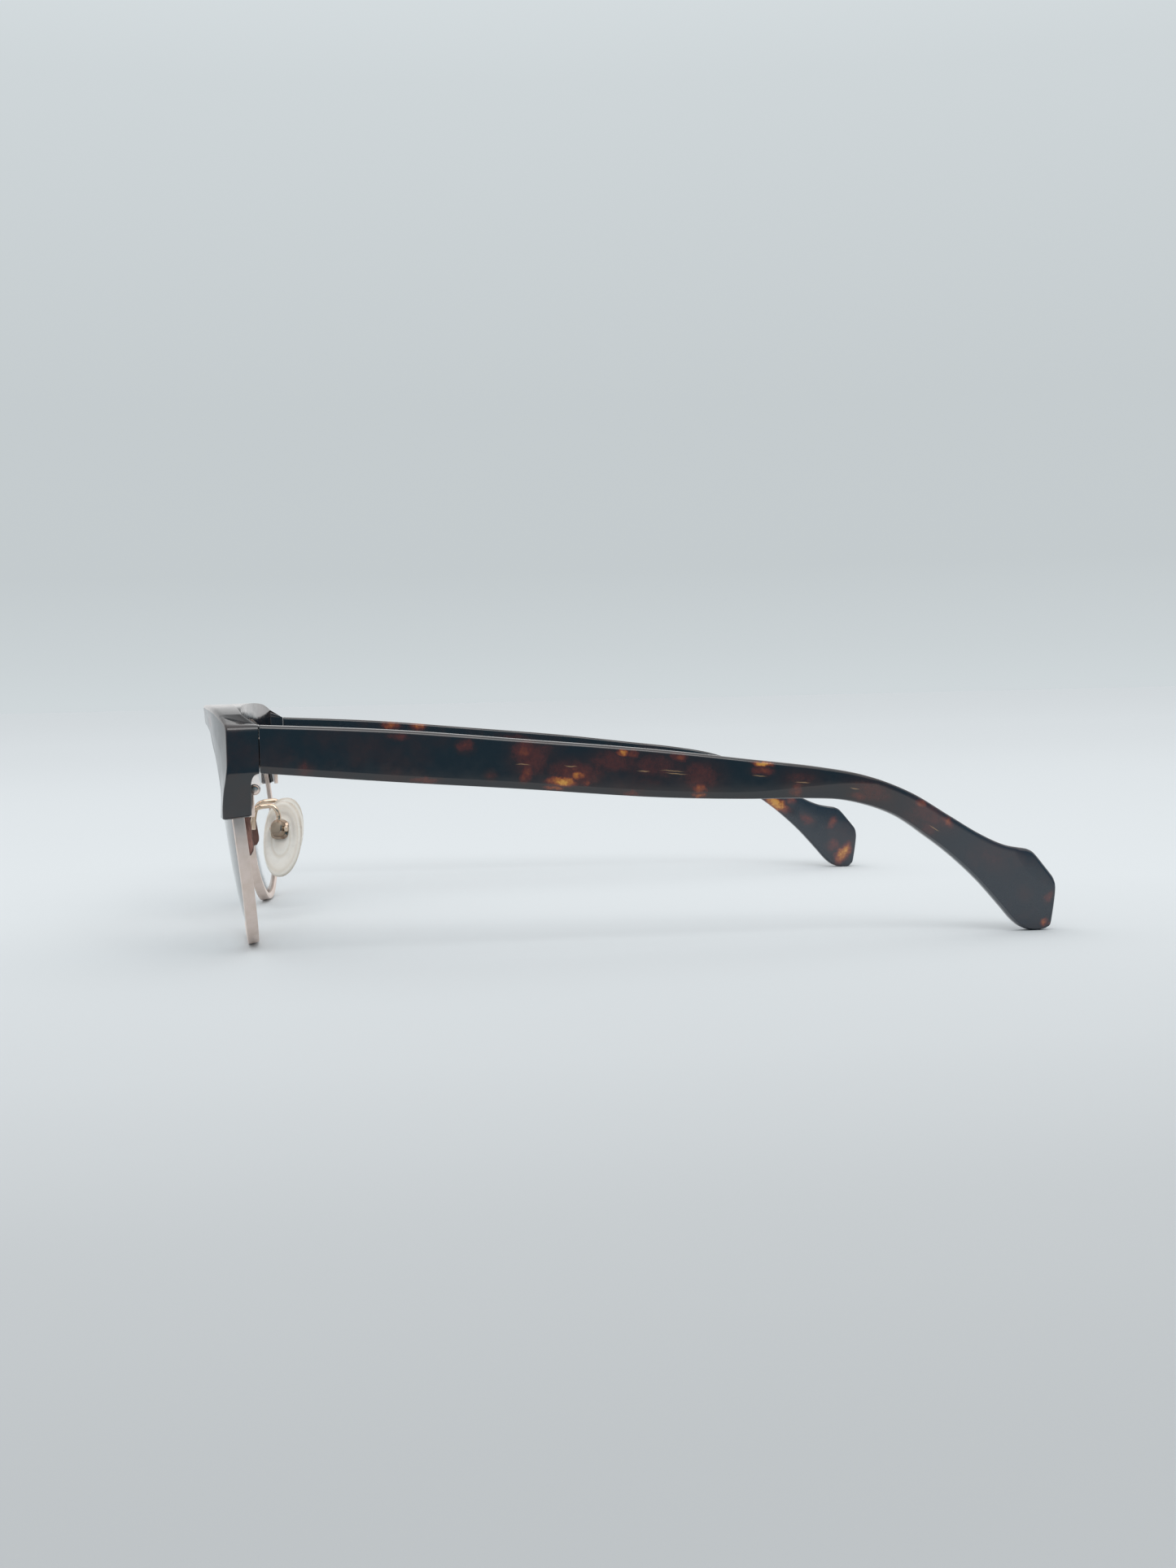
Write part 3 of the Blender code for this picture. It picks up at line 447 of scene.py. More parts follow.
def front(x, z, forward=0.0):
    """The point at (x, z) on the lens surface, moved forward along the surface normal."""
    y = FRONT_Y + WRAP * x - TILT * z + ((x - LENS_X) ** 2 + (z - LENS_Z) ** 2) / (2 * LENS_RADIUS)
    slope_x = WRAP + (x - LENS_X) / LENS_RADIUS
    slope_z = -TILT + (z - LENS_Z) / LENS_RADIUS
    normal = Vector((slope_x, -1.0, slope_z)).normalized()
    return tuple(Vector((x, y, z)) + normal * forward)


def rim_points(count):
    """Evenly spaced (x, z) points round the eyewire's outer edge, from the lens top outwards."""
    fine = 40 * len(RIM_SHAPE)
    raw = [spline(RIM_SHAPE, len(RIM_SHAPE) * i / fine, True) for i in range(fine + 1)]
    lengths = [0.0]
    for a, b in zip(raw, raw[1:]):
        lengths.append(lengths[-1] + math.dist(a, b))
    made = []
    j = 0
    for i in range(count):
        target = lengths[-1] * i / count
        while lengths[j + 1] < target:
            j += 1
        t = (target - lengths[j]) / (lengths[j + 1] - lengths[j])
        u, v = lerp(raw[j], raw[j + 1], t)
        made.append((LENS_X + u, LENS_Z + v))
    return made


RIM_FINE = rim_points(720)


def rim_at(t):
    """((x, z), outward (x, z)) at the fraction t round the eyewire."""
    count = len(RIM_FINE)
    place = (t % 1.0) * count
    i = math.floor(place)
    point = lerp(RIM_FINE[i % count], RIM_FINE[(i + 1) % count], place - i)
    before, after = RIM_FINE[(i - 3) % count], RIM_FINE[(i + 4) % count]
    dx, dz = after[0] - before[0], after[1] - before[1]
    size = math.hypot(dx, dz)
    return point, (-dz / size, dx / size)


def rim_out(t, out):
    """The (x, z) point at the fraction t, moved outwards from the eyewire's outer edge."""
    (x, z), (nx, nz) = rim_at(t)
    return x + nx * out, z + nz * out


def rim_fraction(height, side):
    """The fraction round the eyewire at the given height, on its upper half."""
    count = len(RIM_FINE)
    best = min(
        range(-count // 3, count // 3),
        key=lambda i: abs(RIM_FINE[i % count][1] - height) + (100.0 if i * side < 0 else 0.0),
    )
    return best / count


# ---------------------------------------------------------------- eyewires and lenses


def eyewire_rings(steps=300):
    """Sections of the grooved rim, from one end of its split round to the other."""
    half = RIM_DEPTH / 2
    corners = (
        ((0.0, -half), 0.16),
        ((0.0, half), 0.16),
        ((-RIM_WALL, half), 0.12),
        ((-RIM_WALL, GROOVE_HALF), 0.05),
        ((-RIM_WALL + GROOVE, 0.0), 0.02),
        ((-RIM_WALL, -GROOVE_HALF), 0.05),
        ((-RIM_WALL, -half), 0.12),
    )
    middle = rim_fraction(LOCK_Z, 1)
    perimeter = sum(math.dist(a, b) for a, b in zip(RIM_FINE, RIM_FINE[1:]))
    gap = RIM_GAP / perimeter
    rings = []
    for i in range(steps + 1):
        t = middle + gap / 2 + (1 - gap) * i / steps
        ring = [(front(*rim_out(t, out), forward), radius) for (out, forward), radius in corners]
        rings.append(rounded(ring, 3))
    return rings


def lens_rings(count=160):
    """Rings from the middle of the front, over the edge, to the middle of the back."""
    edge = -RIM_WALL + GROOVE - LENS_PLAY
    outline = [rim_out(i / count, edge - LENS_STEP) for i in range(count)]

    def level(share, forward):
        middle = (LENS_X, LENS_Z)
        return [front(*lerp(middle, point, share), forward) for point in outline]

    rings = [level(share, forward) for share, forward in LENS_FRONT]
    rings.append([front(*rim_out(i / count, edge)) for i in range(count)])
    rings.append(level(1.0, -LENS_EDGE_BACK))
    for share, _ in reversed(LENS_FRONT[:-1]):
        rings.append(level(share, -LENS_BACK - LENS_CROWN * (1 - share)))
    return rings


# ---------------------------------------------------------------- brows


def end_piece_depth(x, z, back):
    """The y of the rear face at (x, z): the end piece reaches back to the joint."""
    if x < END_INNER_X - 0.01 or z <= JOINT_BOTTOM - JOINT_FILLET:
        return back
    if z >= JOINT_BOTTOM:
        return -JOINT_GAP
    f = (z - (JOINT_BOTTOM - JOINT_FILLET)) / JOINT_FILLET
    return back + (-JOINT_GAP - back) * (1 - math.sqrt(max(0.0, 1 - f * f)))


def brow_ring(t, outer, inner_front, outer_front, inset=0.0):
    """The section of the brow on the line from the eyewire at t to the outer edge point."""
    base = rim_out(t, BROW_HEM)
    away = Vector(outer) - Vector(base)
    outer = tuple(Vector(outer) - away.normalized() * inset)
    # The share of the rib at which the end piece starts to reach back.
    level = 0.97
    if outer[0] > base[0]:
        level = min(level, max(0.1, (END_INNER_X - base[0]) / (outer[0] - base[0])))
    before = level - (0.4 / away.length if level < 0.9 else 0.05)
    crisp = min(1.0, max(0.0, (outer[0] - END_INNER_X) / END_EASE))
    slot = RIM_DEPTH / 2 + CHANNEL

    def ahead(share):
        forward = inner_front + (outer_front - inner_front) * share
        return front(*lerp(base, outer, share), forward - inset)

    def rear(share):
        x, z = lerp(base, outer, share)
        point = front(x, z, inset - BROW_BACK)
        y = end_piece_depth(x, z, point[1])
        height = point[2]
        if y > point[1]:
            f = (y - point[1]) / (-JOINT_GAP - point[1])
            height += (min(z, JOINT_TOP) - height) * f
        return (x, max(y, point[1]), height)

    corners = (
        (front(*rim_out(t, inset - FRONT_LIP), inner_front - inset), 0.8),
        (ahead(0.4), 0.3),
        (ahead(1.0), BROW_ROUND * (1 - 0.6 * crisp)),
        (rear(1.0), BROW_BACK_ROUND * (1 - 0.8 * crisp)),
        (rear(min(level + 0.001, 0.96)), 0.2),
        (rear(before), 0.25),
        (rear(0.3 * before), 0.1),
        (front(*rim_out(t, inset - BACK_LIP), inset - BROW_BACK), 0.3),
        (front(*rim_out(t, -BACK_LIP), -slot), 0.02),
        (front(*rim_out(t, CHANNEL_TOP), -slot), 0.02),
        (front(*rim_out(t, CHANNEL_TOP), slot), 0.02),
        (front(*rim_out(t, -FRONT_LIP), slot), 0.02),
    )
    return rounded(corners, 6)


def brow_rings(steps=210):
    """Sections from the nose end, over the top, to the lower end of the leg."""
    keys = [(rim_fraction(height, side), *rest) for height, side, *rest in BROW_RIBS]
    last = len(keys) - 1
    rings = []
    for i in range(steps + 1):
        t, x, z, *fronts = spline(keys, last * i / steps)
        fronts = [forward - BROW_FRONT_TRIM for forward in fronts]
        rings.append(brow_ring(t, (min(x, TEMPLE_OUTER_X) - BROW_TRIM, z - BROW_TRIM), *fronts))
    t0, x0, z0, *fronts0 = keys[0]
    t1, x1, z1, *fronts1 = keys[-1]
    for share, inset in BROW_ENDS:
        turn, drop = BROW_END_TURN * share, BROW_END_DROP * share
        rings.insert(0, brow_ring(t0 - turn, (x0, z0 - drop), *fronts0, inset))
        rings.append(brow_ring(t1 + turn, (x1, z1 - drop), *fronts1, inset))
    return rings


# ---------------------------------------------------------------- temples


def temple_outer(y):
    """The x of the outer side, which curves inwards behind the joint."""
    return TEMPLE_OUTER_X - TEMPLE_INWARD * (max(y, 0.0) / TIP_Y) ** 1.25


def temple_thick(y):
    """The thickness, which thins evenly to the tip."""
    return TEMPLE_THICK + (TIP_THICK - TEMPLE_THICK) * min(1.0, max(y, 0.0) / TIP_Y)


def temple_lines(steps=200, tip_steps=44):
    """Pairs of (top, bottom) points, each (y, z), from the joint to the end of the tip."""
    last = len(TEMPLE_EDGES) - 1
    pairs = []
    for i in range(steps + 1):
        top_y, top_z, low_y, low_z = spline(TEMPLE_EDGES, last * i / steps)
        pairs.append(((top_y, top_z), (low_y, low_z)))
    last = len(TIP_UPPER) - 1
    for i in range(1, tip_steps + 1):
        place = last * i / tip_steps
        low_y, low_z = spline(TIP_LOWER, place)
        pairs.append((spline(TIP_UPPER, place), (low_y, max(0.0, low_z))))
    return pairs


def temple_ring(top, low, shrink=0.0, shift=0.0):
    """The section between a top and a bottom edge point, drawn in by shrink all round."""
    height = math.dist(top, low)
    middle_y = (top[0] + low[0]) / 2
    scale = min(1.0, height / FULL_ROUND_HEIGHT)
    f = min(1.0, max(0.0, (middle_y - EAR_Y) / EAR_LONG))
    bevel = min(BEVEL + f * f * BEVEL_GROWTH, height - scale - 0.05)
    bevel_in = BEVEL_IN + 0.15 * f
    thick = temple_thick(middle_y) - shrink

    def at(down, inward):
        y, z = lerp(top, low, down / height)
        return (temple_outer(y) - inward, y + shift, z)

    corners = (
        (at(shrink, shrink), 0.75 * scale),
        (at(height - bevel, shrink), 0.1),
        (at(height - shrink - 0.34 * f, bevel_in + 0.06 + shrink), 0.12),
        (at(height - shrink, bevel_in + 0.12 + shrink + 0.9 * f), 0.3 * scale),
        (at(height - shrink, thick), 0.6 * scale),
        (at(shrink, thick), 0.6 * scale),
    )
    return rounded(corners, TEMPLE_SEGMENTS)


def temple_rings():
    """Sections from the joint to the tip."""
    pairs = temple_lines()
    rings = [temple_ring(top, low) for top, low in pairs[1:]]
    top, low = pairs[0]
    for shift, shrink in TEMPLE_START:
        rings.insert(0, temple_ring(top, low, shrink, shift))
    return rings


# ---------------------------------------------------------------- nose pads and arms


def pad_axes():
    """Which way the left pad faces, its own up, and its own back."""
    facing = Vector(PAD_FACING).normalized()
    up = (Vector((0, 0, 1)) - facing * facing.z).normalized()
    return facing, up, facing.cross(up)


def pad_outline(a):
    """Unit outline of the pad at the angle a: narrower below and fuller at the back."""
    tall, wide = math.sin(a), math.cos(a)
    up = math.copysign(abs(tall) ** PAD_SQUARENESS, tall)
    side = math.copysign(abs(wide) ** PAD_SQUARENESS, wide)
    side *= 1.0 - 0.14 * max(0.0, -up) ** 1.5
    if side < 0:
        side += 0.10 * (1 - up * up)
    return up, side


def pad_rings(count=96):
    """Rings that turn from round ones near the insert to the pad's outline."""
    facing, up, back = pad_axes()
    centre = Vector(PAD_CENTRE)
    rings = []
    for scale, depth, lift in PAD_LEVELS:
        middle = centre + up * (BOX_UP * lift * (1 - scale) * PAD_LIFT)
        shaped = min(1.0, scale * 1.3)
        ring = []
        for k in range(count):
            a = 2 * math.pi * k / count
            tall, side = lerp((math.sin(a), math.cos(a)), pad_outline(a), shaped)
            spot = middle + up * (tall * PAD_LONG / 2 * scale) + back * (side * PAD_WIDE / 2 * scale)
            ring.append(tuple(spot + facing * depth))
        rings.append(ring)
    return rings


def tube_rings(path, radius, steps, around=20):
    """Round sections along a smooth path, with eased ends."""
    last = len(path) - 1
    centres = [Vector(spline(path, last * i / steps)) for i in range(steps + 1)]
    angles = [2 * math.pi * k / around for k in range(around)]
    eased = (0.7, 0.92, 1.0)
    rings = []
    side = Vector((1, 0, 0))
    for i, centre in enumerate(centres):
        along = (centres[min(i + 1, steps)] - centres[max(i - 1, 0)]).normalized()
        side = (side - along * side.dot(along)).normalized()
        other = along.cross(side)
        r = radius * eased[min(i, steps - i, 2)]
        rings.append([tuple(centre + (side * math.cos(a) + other * math.sin(a)) * r) for a in angles])
    return rings


def arm_rings():
    """The pad's wire, from the foot up and over to the top of the box."""
    facing, up, _ = pad_axes()
    place = Vector(PAD_CENTRE) + up * BOX_UP - facing * (PAD_BACK + PAD_TO_BOX)
    end = place + up * (BOX_LONG / 2 - 0.35) - facing * (BOX_DEEP * 0.5)
    path = [*ARM_PATH, tuple(end + up * 0.9 - facing * 0.05), tuple(end + up * 0.05)]
    return tube_rings(path, ARM_R, 110)


# ---------------------------------------------------------------- small metal parts


MERGE = 0.002
FLAT_ANGLE = math.radians(1)
EDGE_ANGLE = math.radians(33)
SHARP_ANGLE = math.radians(38)


def refined(name, node, ease):
    """A copy of a CAD node with its facets merged and its edges eased."""
    mesh = frame["nodes"][node].data.copy()
    body = bmesh.new()
    body.from_mesh(mesh)
    bmesh.ops.remove_doubles(body, verts=body.verts, dist=MERGE * MM)
    bmesh.ops.dissolve_limit(body, angle_limit=FLAT_ANGLE, verts=body.verts, edges=body.edges)
    edges = [e for e in body.edges if len(e.link_faces) == 2 and e.calc_face_angle(0.0) > EDGE_ANGLE]
    bmesh.ops.bevel(
        body,
        geom=edges,
        offset=ease * MM,
        offset_type="OFFSET",
        segments=2,
        profile=0.6,
        affect="EDGES",
        clamp_overlap=True,
    )
    for face in body.faces:
        face.smooth = True
    bmesh.ops.triangulate(body, faces=[f for f in body.faces if len(f.verts) > 4])
    body.to_mesh(mesh)
    body.free()
    mesh.set_sharp_from_angle(angle=SHARP_ANGLE)
    obj = bpy.data.objects.new(name, mesh)
    bpy.context.scene.collection.objects.link(obj)
    return obj


# ---------------------------------------------------------------- materials


class Tree:
    """A short way to write a node tree."""

    def __init__(self, tree):
        self.tree = tree

    def feed(self, socket, value):
        if isinstance(value, bpy.types.NodeSocket):
            self.tree.links.new(value, socket)
        else:
            socket.default_value = value

    def add(self, kind, *inputs, **settings):
        """A node whose first inputs get the given values or sockets."""
        made = self.tree.nodes.new(kind)
        for key, value in settings.items():
            setattr(made, key, value)
        for i, value in enumerate(inputs):
            if value is not None:
                self.feed(made.inputs[i], value)
        return made

    def math(self, operation, a, b=0.0):
        return self.add("ShaderNodeMath", a, b, operation=operation).outputs[0]

    def vector(self, operation, a, b=(0.0, 0.0, 0.0)):
        made = self.add("ShaderNodeVectorMath", a, b, operation=operation)
        return made.outputs["Value" if operation == "LENGTH" else "Vector"]

    def spread(self, value, low, high, to_low=0.0, to_high=1.0, kind="SMOOTHSTEP"):
        """The value taken from low..high to to_low..to_high, smoothly or in a straight line."""
        made = self.add("ShaderNodeMapRange", value, low, high, to_low, to_high)
        made.interpolation_type = kind
        return made.outputs[0]

    def ramp(self, value, stops):
        made = self.add("ShaderNodeValToRGB", value)
        elements = made.color_ramp.elements
        while len(elements) < len(stops):
            elements.new(0.5)
        for element, (position, colour) in zip(elements, stops):
            element.position = position
            element.color = (*colour, 1.0)
        return made.outputs[0]

    def mix(self, factor, a, b, **settings):
        made = self.add("ShaderNodeMix", data_type="RGBA", **settings)
        self.feed(made.inputs[0], factor)
        self.feed(made.inputs[6], a)
        self.feed(made.inputs[7], b)
        return made.outputs[2]


class Nodes(Tree):
    """The node tree of a new material, which ends in one Principled shader."""

    def __init__(self, name):
        self.material = bpy.data.materials.new(name)
        self.material.use_nodes = True
        super().__init__(self.material.node_tree)
        self.shader = self.tree.nodes["Principled BSDF"]

    def set(self, **values):
        for key, value in values.items():
            self.feed(self.shader.inputs[key.replace("_", " ")], value)

    def place(self):
        """The object's own coordinates, in millimetres and with y from the joint."""
        coords = self.add("ShaderNodeTexCoord").outputs["Object"]
        shift = (0.0, MID_Y, 0.0)
        return self.add("ShaderNodeMapping", coords, shift, None, (1 / MM,) * 3).outputs[0]

    def patch(self, place, middle, turn, half, low, high, level):
        """Full level inside an oval round the middle, fading out from low to high radii."""
        local = self.add("ShaderNodeMapping", place, middle, turn, half, vector_type="TEXTURE").outputs[0]
        return self.spread(self.vector("LENGTH", local), high, low, 0.0, level)

    def noise(self, place, scale, detail=2.0, rough=0.5):
        made = self.add("ShaderNodeTexNoise", place)
        made.inputs["Scale"].default_value = scale
        made.inputs["Detail"].default_value = detail
        made.inputs["Roughness"].default_value = rough
        return made

    def wander(self, place, scale, detail, rough, reach):
        """The place pushed about by noise, by up to half the reach each way."""
        colour = self.noise(place, scale, detail, rough).outputs["Color"]
        centred = self.vector("SUBTRACT", colour, (0.5, 0.5, 0.5))
        return self.vector("ADD", place, self.vector("MULTIPLY", centred, reach))

    def bump(self, height, strength, distance):
        made = self.add("ShaderNodeBump")
        made.inputs["Strength"].default_value = strength
        made.inputs["Distance"].default_value = distance * MM
        self.feed(made.inputs["Height"], height)
        return made.outputs[0]


# Colours of the acetate as its heat rises. The darkest is faintly bluish, a painted share of the bluish
# reflection on its dark sides.
TORTOISE = (
    (0.0, (0.0055, 0.0082, 0.0115)),
    (0.22, (0.02, 0.0095, 0.0095)),
    (0.42, (0.08, 0.0165, 0.0115)),
    (0.6, (0.205, 0.046, 0.014)),
    (0.78, (0.4, 0.132, 0.022)),
    (0.94, (0.62, 0.29, 0.05)),
)
ACETATE_IOR = 1.7
# A patch is even up to the first share of its size and gone at the second, and noise bends it.
PATCH_FADE = (0.25, 2.1)
PATCH_WANDER = (2.6, 2.6, 1.5)
# Thin golden lines where the core wire shows, partly the wire's colour and partly a painted highlight: the
# colour, half height, fade, level and waver.
GLINT = (0.42, 0.26, 0.13, 1.0)
GLINT_HALF = 0.09
GLINT_FADE = (0.3, 1.4)
GLINT_LEVEL = 0.65
GLINT_WANDER = (0.0, 0.0, 0.4)
# A pale bluish painted reflection on the tips, which is added to the acetate's colour between these
# distances.
TIP_PAINTED_REFLECTION = (0.009, 0.015, 0.023)
PAINTED_REFLECTION_START = 100.0
PAINTED_REFLECTION_FULL = 126.0
# A size along which an oval has no end.
FAR = 1e4


def temple_slope(y):
    """The angle of the temple's middle line at the distance from the joint."""
    stations = [((top_y + low_y) / 2, (top_z + low_z) / 2) for top_y, top_z, low_y, low_z in TEMPLE_EDGES]
    i = next((i for i in range(1, len(stations)) if stations[i][0] > y), len(stations) - 1)
    (y0, z0), (y1, z1) = stations[i - 1], stations[i]
    return math.atan2(z1 - z0, y1 - y0)


def patch_heat(n, place, patches, along_x):
    """The heat of the patches, which lie along x on the brows and along y on the temples."""
    bent = n.wander(place, 0.5, 4.0, 0.6, PATCH_WANDER)
    heat = 0.0
    for u, z, half_u, half_z, strength in patches:
        if along_x:
            middle, turn, half = (u, 0.0, z), (0.0, 0.0, 0.0), (half_u, FAR, half_z)
        else:
            middle, turn, half = (0.0, u, z), (temple_slope(u), 0.0, 0.0), (FAR, half_u, half_z)
        heat = n.math("MAXIMUM", heat, n.patch(bent, middle, turn, half, *PATCH_FADE, strength))
    return heat


def glint_shine(n, place, glints):
    wire = n.wander(place, 0.7, 1.0, 0.5, GLINT_WANDER)
    shine = 0.0
    for y, z, half_y in glints:
        turn, half = (temple_slope(y), 0.0, 0.0), (FAR, half_y, GLINT_HALF)
        shine = n.math("MAXIMUM", shine, n.patch(wire, (0.0, y, z), turn, half, *GLINT_FADE, GLINT_LEVEL))
    return shine


# Painted reflection: the tips' colour is lightened and turned bluish towards their ends.
def painted_tip_reflection(n, place):
    along = n.add("ShaderNodeSeparateXYZ", place).outputs[1]
    share = n.spread(along, PAINTED_REFLECTION_START, PAINTED_REFLECTION_FULL)
    return n.vector("MULTIPLY", n.add("ShaderNodeCombineXYZ", share, share, share).outputs[0], TIP_PAINTED_REFLECTION)


def tortoise(name, patches, glints=(), along_x=False):
    """Polished acetate: near black, with patches that warm from red-brown to amber."""
    n = Nodes(name)
    place = n.place()
    heat = patch_heat(n, place, patches, along_x)
    cloud = n.noise(place, 0.12, 4.0, 0.6).outputs["Fac"]
    heat = n.math("MAXIMUM", heat, n.spread(cloud, 0.46, 0.72, 0.0, 0.22))
    grain = n.noise(place, 1.0, 5.0, 0.7).outputs["Fac"]
    heat = n.math("MULTIPLY", heat, n.spread(grain, 0.28, 0.7, 0.82, 1.14))
    colour = n.vector("ADD", n.ramp(heat, TORTOISE), painted_tip_reflection(n, place))
    # Golden lines painted where the core wire glints: partly the wire's colour, partly a painted highlight.
    if glints:
        colour = n.mix(glint_shine(n, place, glints), colour, GLINT)
    n.set(
        Base_Color=colour,
        Roughness=n.spread(n.noise(place, 0.5, 4.0, 0.6).outputs["Fac"], 0.3, 0.7, 0.1, 0.17),
        IOR=ACETATE_IOR,
        Normal=n.bump(n.noise(place, 0.16, 1.0).outputs["Fac"], 0.2, 0.25),
    )
    return n.material


def plated(name, colour, deep, rough):
    """Polished plating with faint cloudiness and fine polishing marks."""
    n = Nodes(name)
    place = n.place()
    cloud = n.noise(place, 0.5, 3.0).outputs["Fac"]
    marks = n.noise(n.vector("MULTIPLY", place, (1.0, 6.0, 1.0)), 3.0, 3.0).outputs["Fac"]
    n.set(
        Base_Color=n.mix(n.spread(cloud, 0.35, 0.7), (*colour, 1.0), (*deep, 1.0)),
        Metallic=1.0,
        Roughness=n.spread(marks, 0.25, 0.75, rough * 0.8, rough * 1.3),
        Normal=n.bump(marks, 0.06, 0.02),
    )
    return n.material


def clear_lens(name):
    """Clear plastic with the faintest haze."""
    n = Nodes(name)
    haze = n.noise(n.place(), 0.12, 2.0).outputs["Fac"]
    n.set(
        Base_Color=n.mix(haze, (0.995, 0.997, 0.998, 1.0), (0.985, 0.992, 0.995, 1.0)),
        Roughness=0.02,
        IOR=1.3,
        Transmission_Weight=1.0,
    )
    return n.material


# Tones of the pad from its middle to its outline, with painted shade: darker bands along the moulded rings
# and darkest at the rolled edge.
PAD_TONES_AND_PAINTED_SHADE = (
    (0.2, (0.9, 0.84, 0.76)),
    (0.4, (0.95, 0.92, 0.86)),
    (0.46, (0.8, 0.74, 0.65)),
    (0.55, (0.95, 0.92, 0.86)),
    (0.76, (0.93, 0.89, 0.82)),
    (0.86, (0.8, 0.74, 0.65)),
    (0.94, (0.9, 0.86, 0.79)),
    (1.0, (0.55, 0.48, 0.4)),
)


def pad_plastic(name):
    """Soft milky plastic, with painted shade towards its rolled edge and along its moulded rings."""
    n = Nodes(name)
    place = n.place()
    split = n.add("ShaderNodeSeparateXYZ", place)
    # Both pads take their rings of painted shade from the left one's place, so the right side is folded
    # over.
    across = n.math("ABSOLUTE", split.outputs[0])
    folded = n.add("ShaderNodeCombineXYZ", across, split.outputs[1], split.outputs[2]).outputs[0]
    facing, up, back = pad_axes()
    turn = Matrix((up, back, facing)).transposed().to_euler()
    half = (PAD_LONG / 2, PAD_WIDE / 2, FAR)
    local = n.add("ShaderNodeMapping", folded, PAD_CENTRE, turn, half, vector_type="TEXTURE").outputs[0]
    tone_with_painted_shade = n.ramp(n.vector("LENGTH", local), PAD_TONES_AND_PAINTED_SHADE)
    cloud = n.spread(n.noise(place, 0.25, 3.0).outputs["Fac"], 0.3, 0.7, 0.0, 0.35)
    n.set(
        Base_Color=n.mix(cloud, tone_with_painted_shade, (0.9, 0.84, 0.75, 1.0)),
        Roughness=n.spread(n.noise(place, 0.6, 3.0).outputs["Fac"], 0.3, 0.7, 0.24, 0.32),
        IOR=1.45,
    )
    return n.material


# ---------------------------------------------------------------- the glasses


def build_large(pad, bright_gold):
    """The pieces that are skinned afresh, in pairs."""
    satin_gold = plated("satin_rose_gold_plating", (0.78, 0.66, 0.6), (0.72, 0.6, 0.53), 0.42)
    brow_acetate = tortoise("tortoise_brow", BROW_PATCHES, along_x=True)
    temple_acetate = {
        "left": tortoise("tortoise_left_temple", LEFT_PATCHES, LEFT_GLINTS),
        "right": tortoise("tortoise_right_temple", RIGHT_PATCHES, RIGHT_GLINTS),
    }
    shapes = (
        ("eyewire", eyewire_rings(), 30.0, "front", "rose_gold", satin_gold),
        ("brow", brow_rings(), 40.0, "front", "tortoise_acetate", brow_acetate),
        ("lens", lens_rings(), 40.0, "front", "demo_lens", clear_lens("demo_lens_clear")),
        ("pad_arm", arm_rings(), 60.0, "front", "rose_gold", bright_gold),
        ("temple", temple_rings(), 40.0, "{}_temple_arm", "tortoise_acetate", temple_acetate),
        ("nose_pad", pad_rings(), 60.0, "{}_pad", "nose_pad_silicone", pad),
    )
    for kind, rings, crease, body, slot, mat in shapes:
        for side, mirror in SIDES.items():
            sharp_row = BEVEL_ROW if kind == "temple" else None
            obj = shell(f"fine_{side}_{kind}", rings, mirror, crease, sharp_row)
            made = mat[side] if isinstance(mat, dict) else mat
            put(obj, body.format(side), slot, made, f"{side}_{kind}")
            if kind == "lens":
                obj.visible_shadow = False


def build_small(bright_gold):
    """The metal parts that are refined from their CAD nodes, with how far their edges are eased."""
    rose_gold = plated("rose_gold_plating", (0.86, 0.7, 0.62), (0.8, 0.64, 0.55), 0.2)
    # The pad boxes' gold is painted dark, a painted reflection of the dim room their faces turn to.
    painted_dark_box_gold = plated("pad_box_gold_painted_dark", (0.34, 0.27, 0.21), (0.28, 0.21, 0.16), 0.08)
    # The pad feet are painted dark brown, a painted reflection of the dark acetate beside them.
    painted_dark_foot_gold = plated("pad_foot_plate_painted_dark", (0.17, 0.095, 0.08), (0.12, 0.07, 0.06), 0.3)
    parts = (
        ("rim_lock", "front", rose_gold, 0.08),
        ("rim_screw", "front", rose_gold, 0.06),
        ("front_leaf", "front", rose_gold, 0.07),
        ("hinge_screw", "front", rose_gold, 0.08),
        ("pad_foot", "front", painted_dark_foot_gold, 0.12),
        ("pad_box", "front", painted_dark_box_gold, 0.12),
        ("pad_screw", "front", bright_gold, 0.06),
        ("temple_leaf", "{}_temple_arm", rose_gold, 0.07),
    )
    for kind, body, mat, ease in parts:
        for side in SIDES:
            obj = refined(f"fine_{side}_{kind}", f"{side}_{kind}", ease)
            put(obj, body.format(side), "rose_gold", mat, f"{side}_{kind}")
    put(refined("fine_bridge", "bridge", 0.3), "front", "rose_gold", rose_gold, "bridge")


def build_glasses():
    """Every piece with its material."""
    bright_gold = plated("bright_gold_wire", (0.72, 0.58, 0.46), (0.6, 0.45, 0.33), 0.06)
    brass = plated("core_wire_brass_wire", (0.85, 0.6, 0.25), (0.7, 0.46, 0.18), 0.3)
    pad = pad_plastic("nose_pad_plastic")
    build_large(pad, bright_gold)
    build_small(bright_gold)
    # These keep their CAD shape, because they hardly show.
    for side in SIDES:
        for kind, mat in (("core_wire", brass), ("pad_insert", pad)):
            slots = frame["nodes"][f"{side}_{kind}"].data.materials
            slots.clear()
            slots.append(mat)


# ---------------------------------------------------------------- the studio


# The camera looks across the left temple, a little downwards. Its place is in millimetres.
CAMERA_PLACE = (375.18, 12.74, 44.13)
CAMERA_YAW = 7.78
CAMERA_PITCH = 2.832
CAMERA_ROLL = -1.333
CAMERA_LENS = 41.917
CAMERA_CLIP = (0.01, 50.0)

# The floor in metres: how far it spreads, and where it ends on the camera's side.
FLOOR_HALF = 12.0
FLOOR_EDGE = 0.45
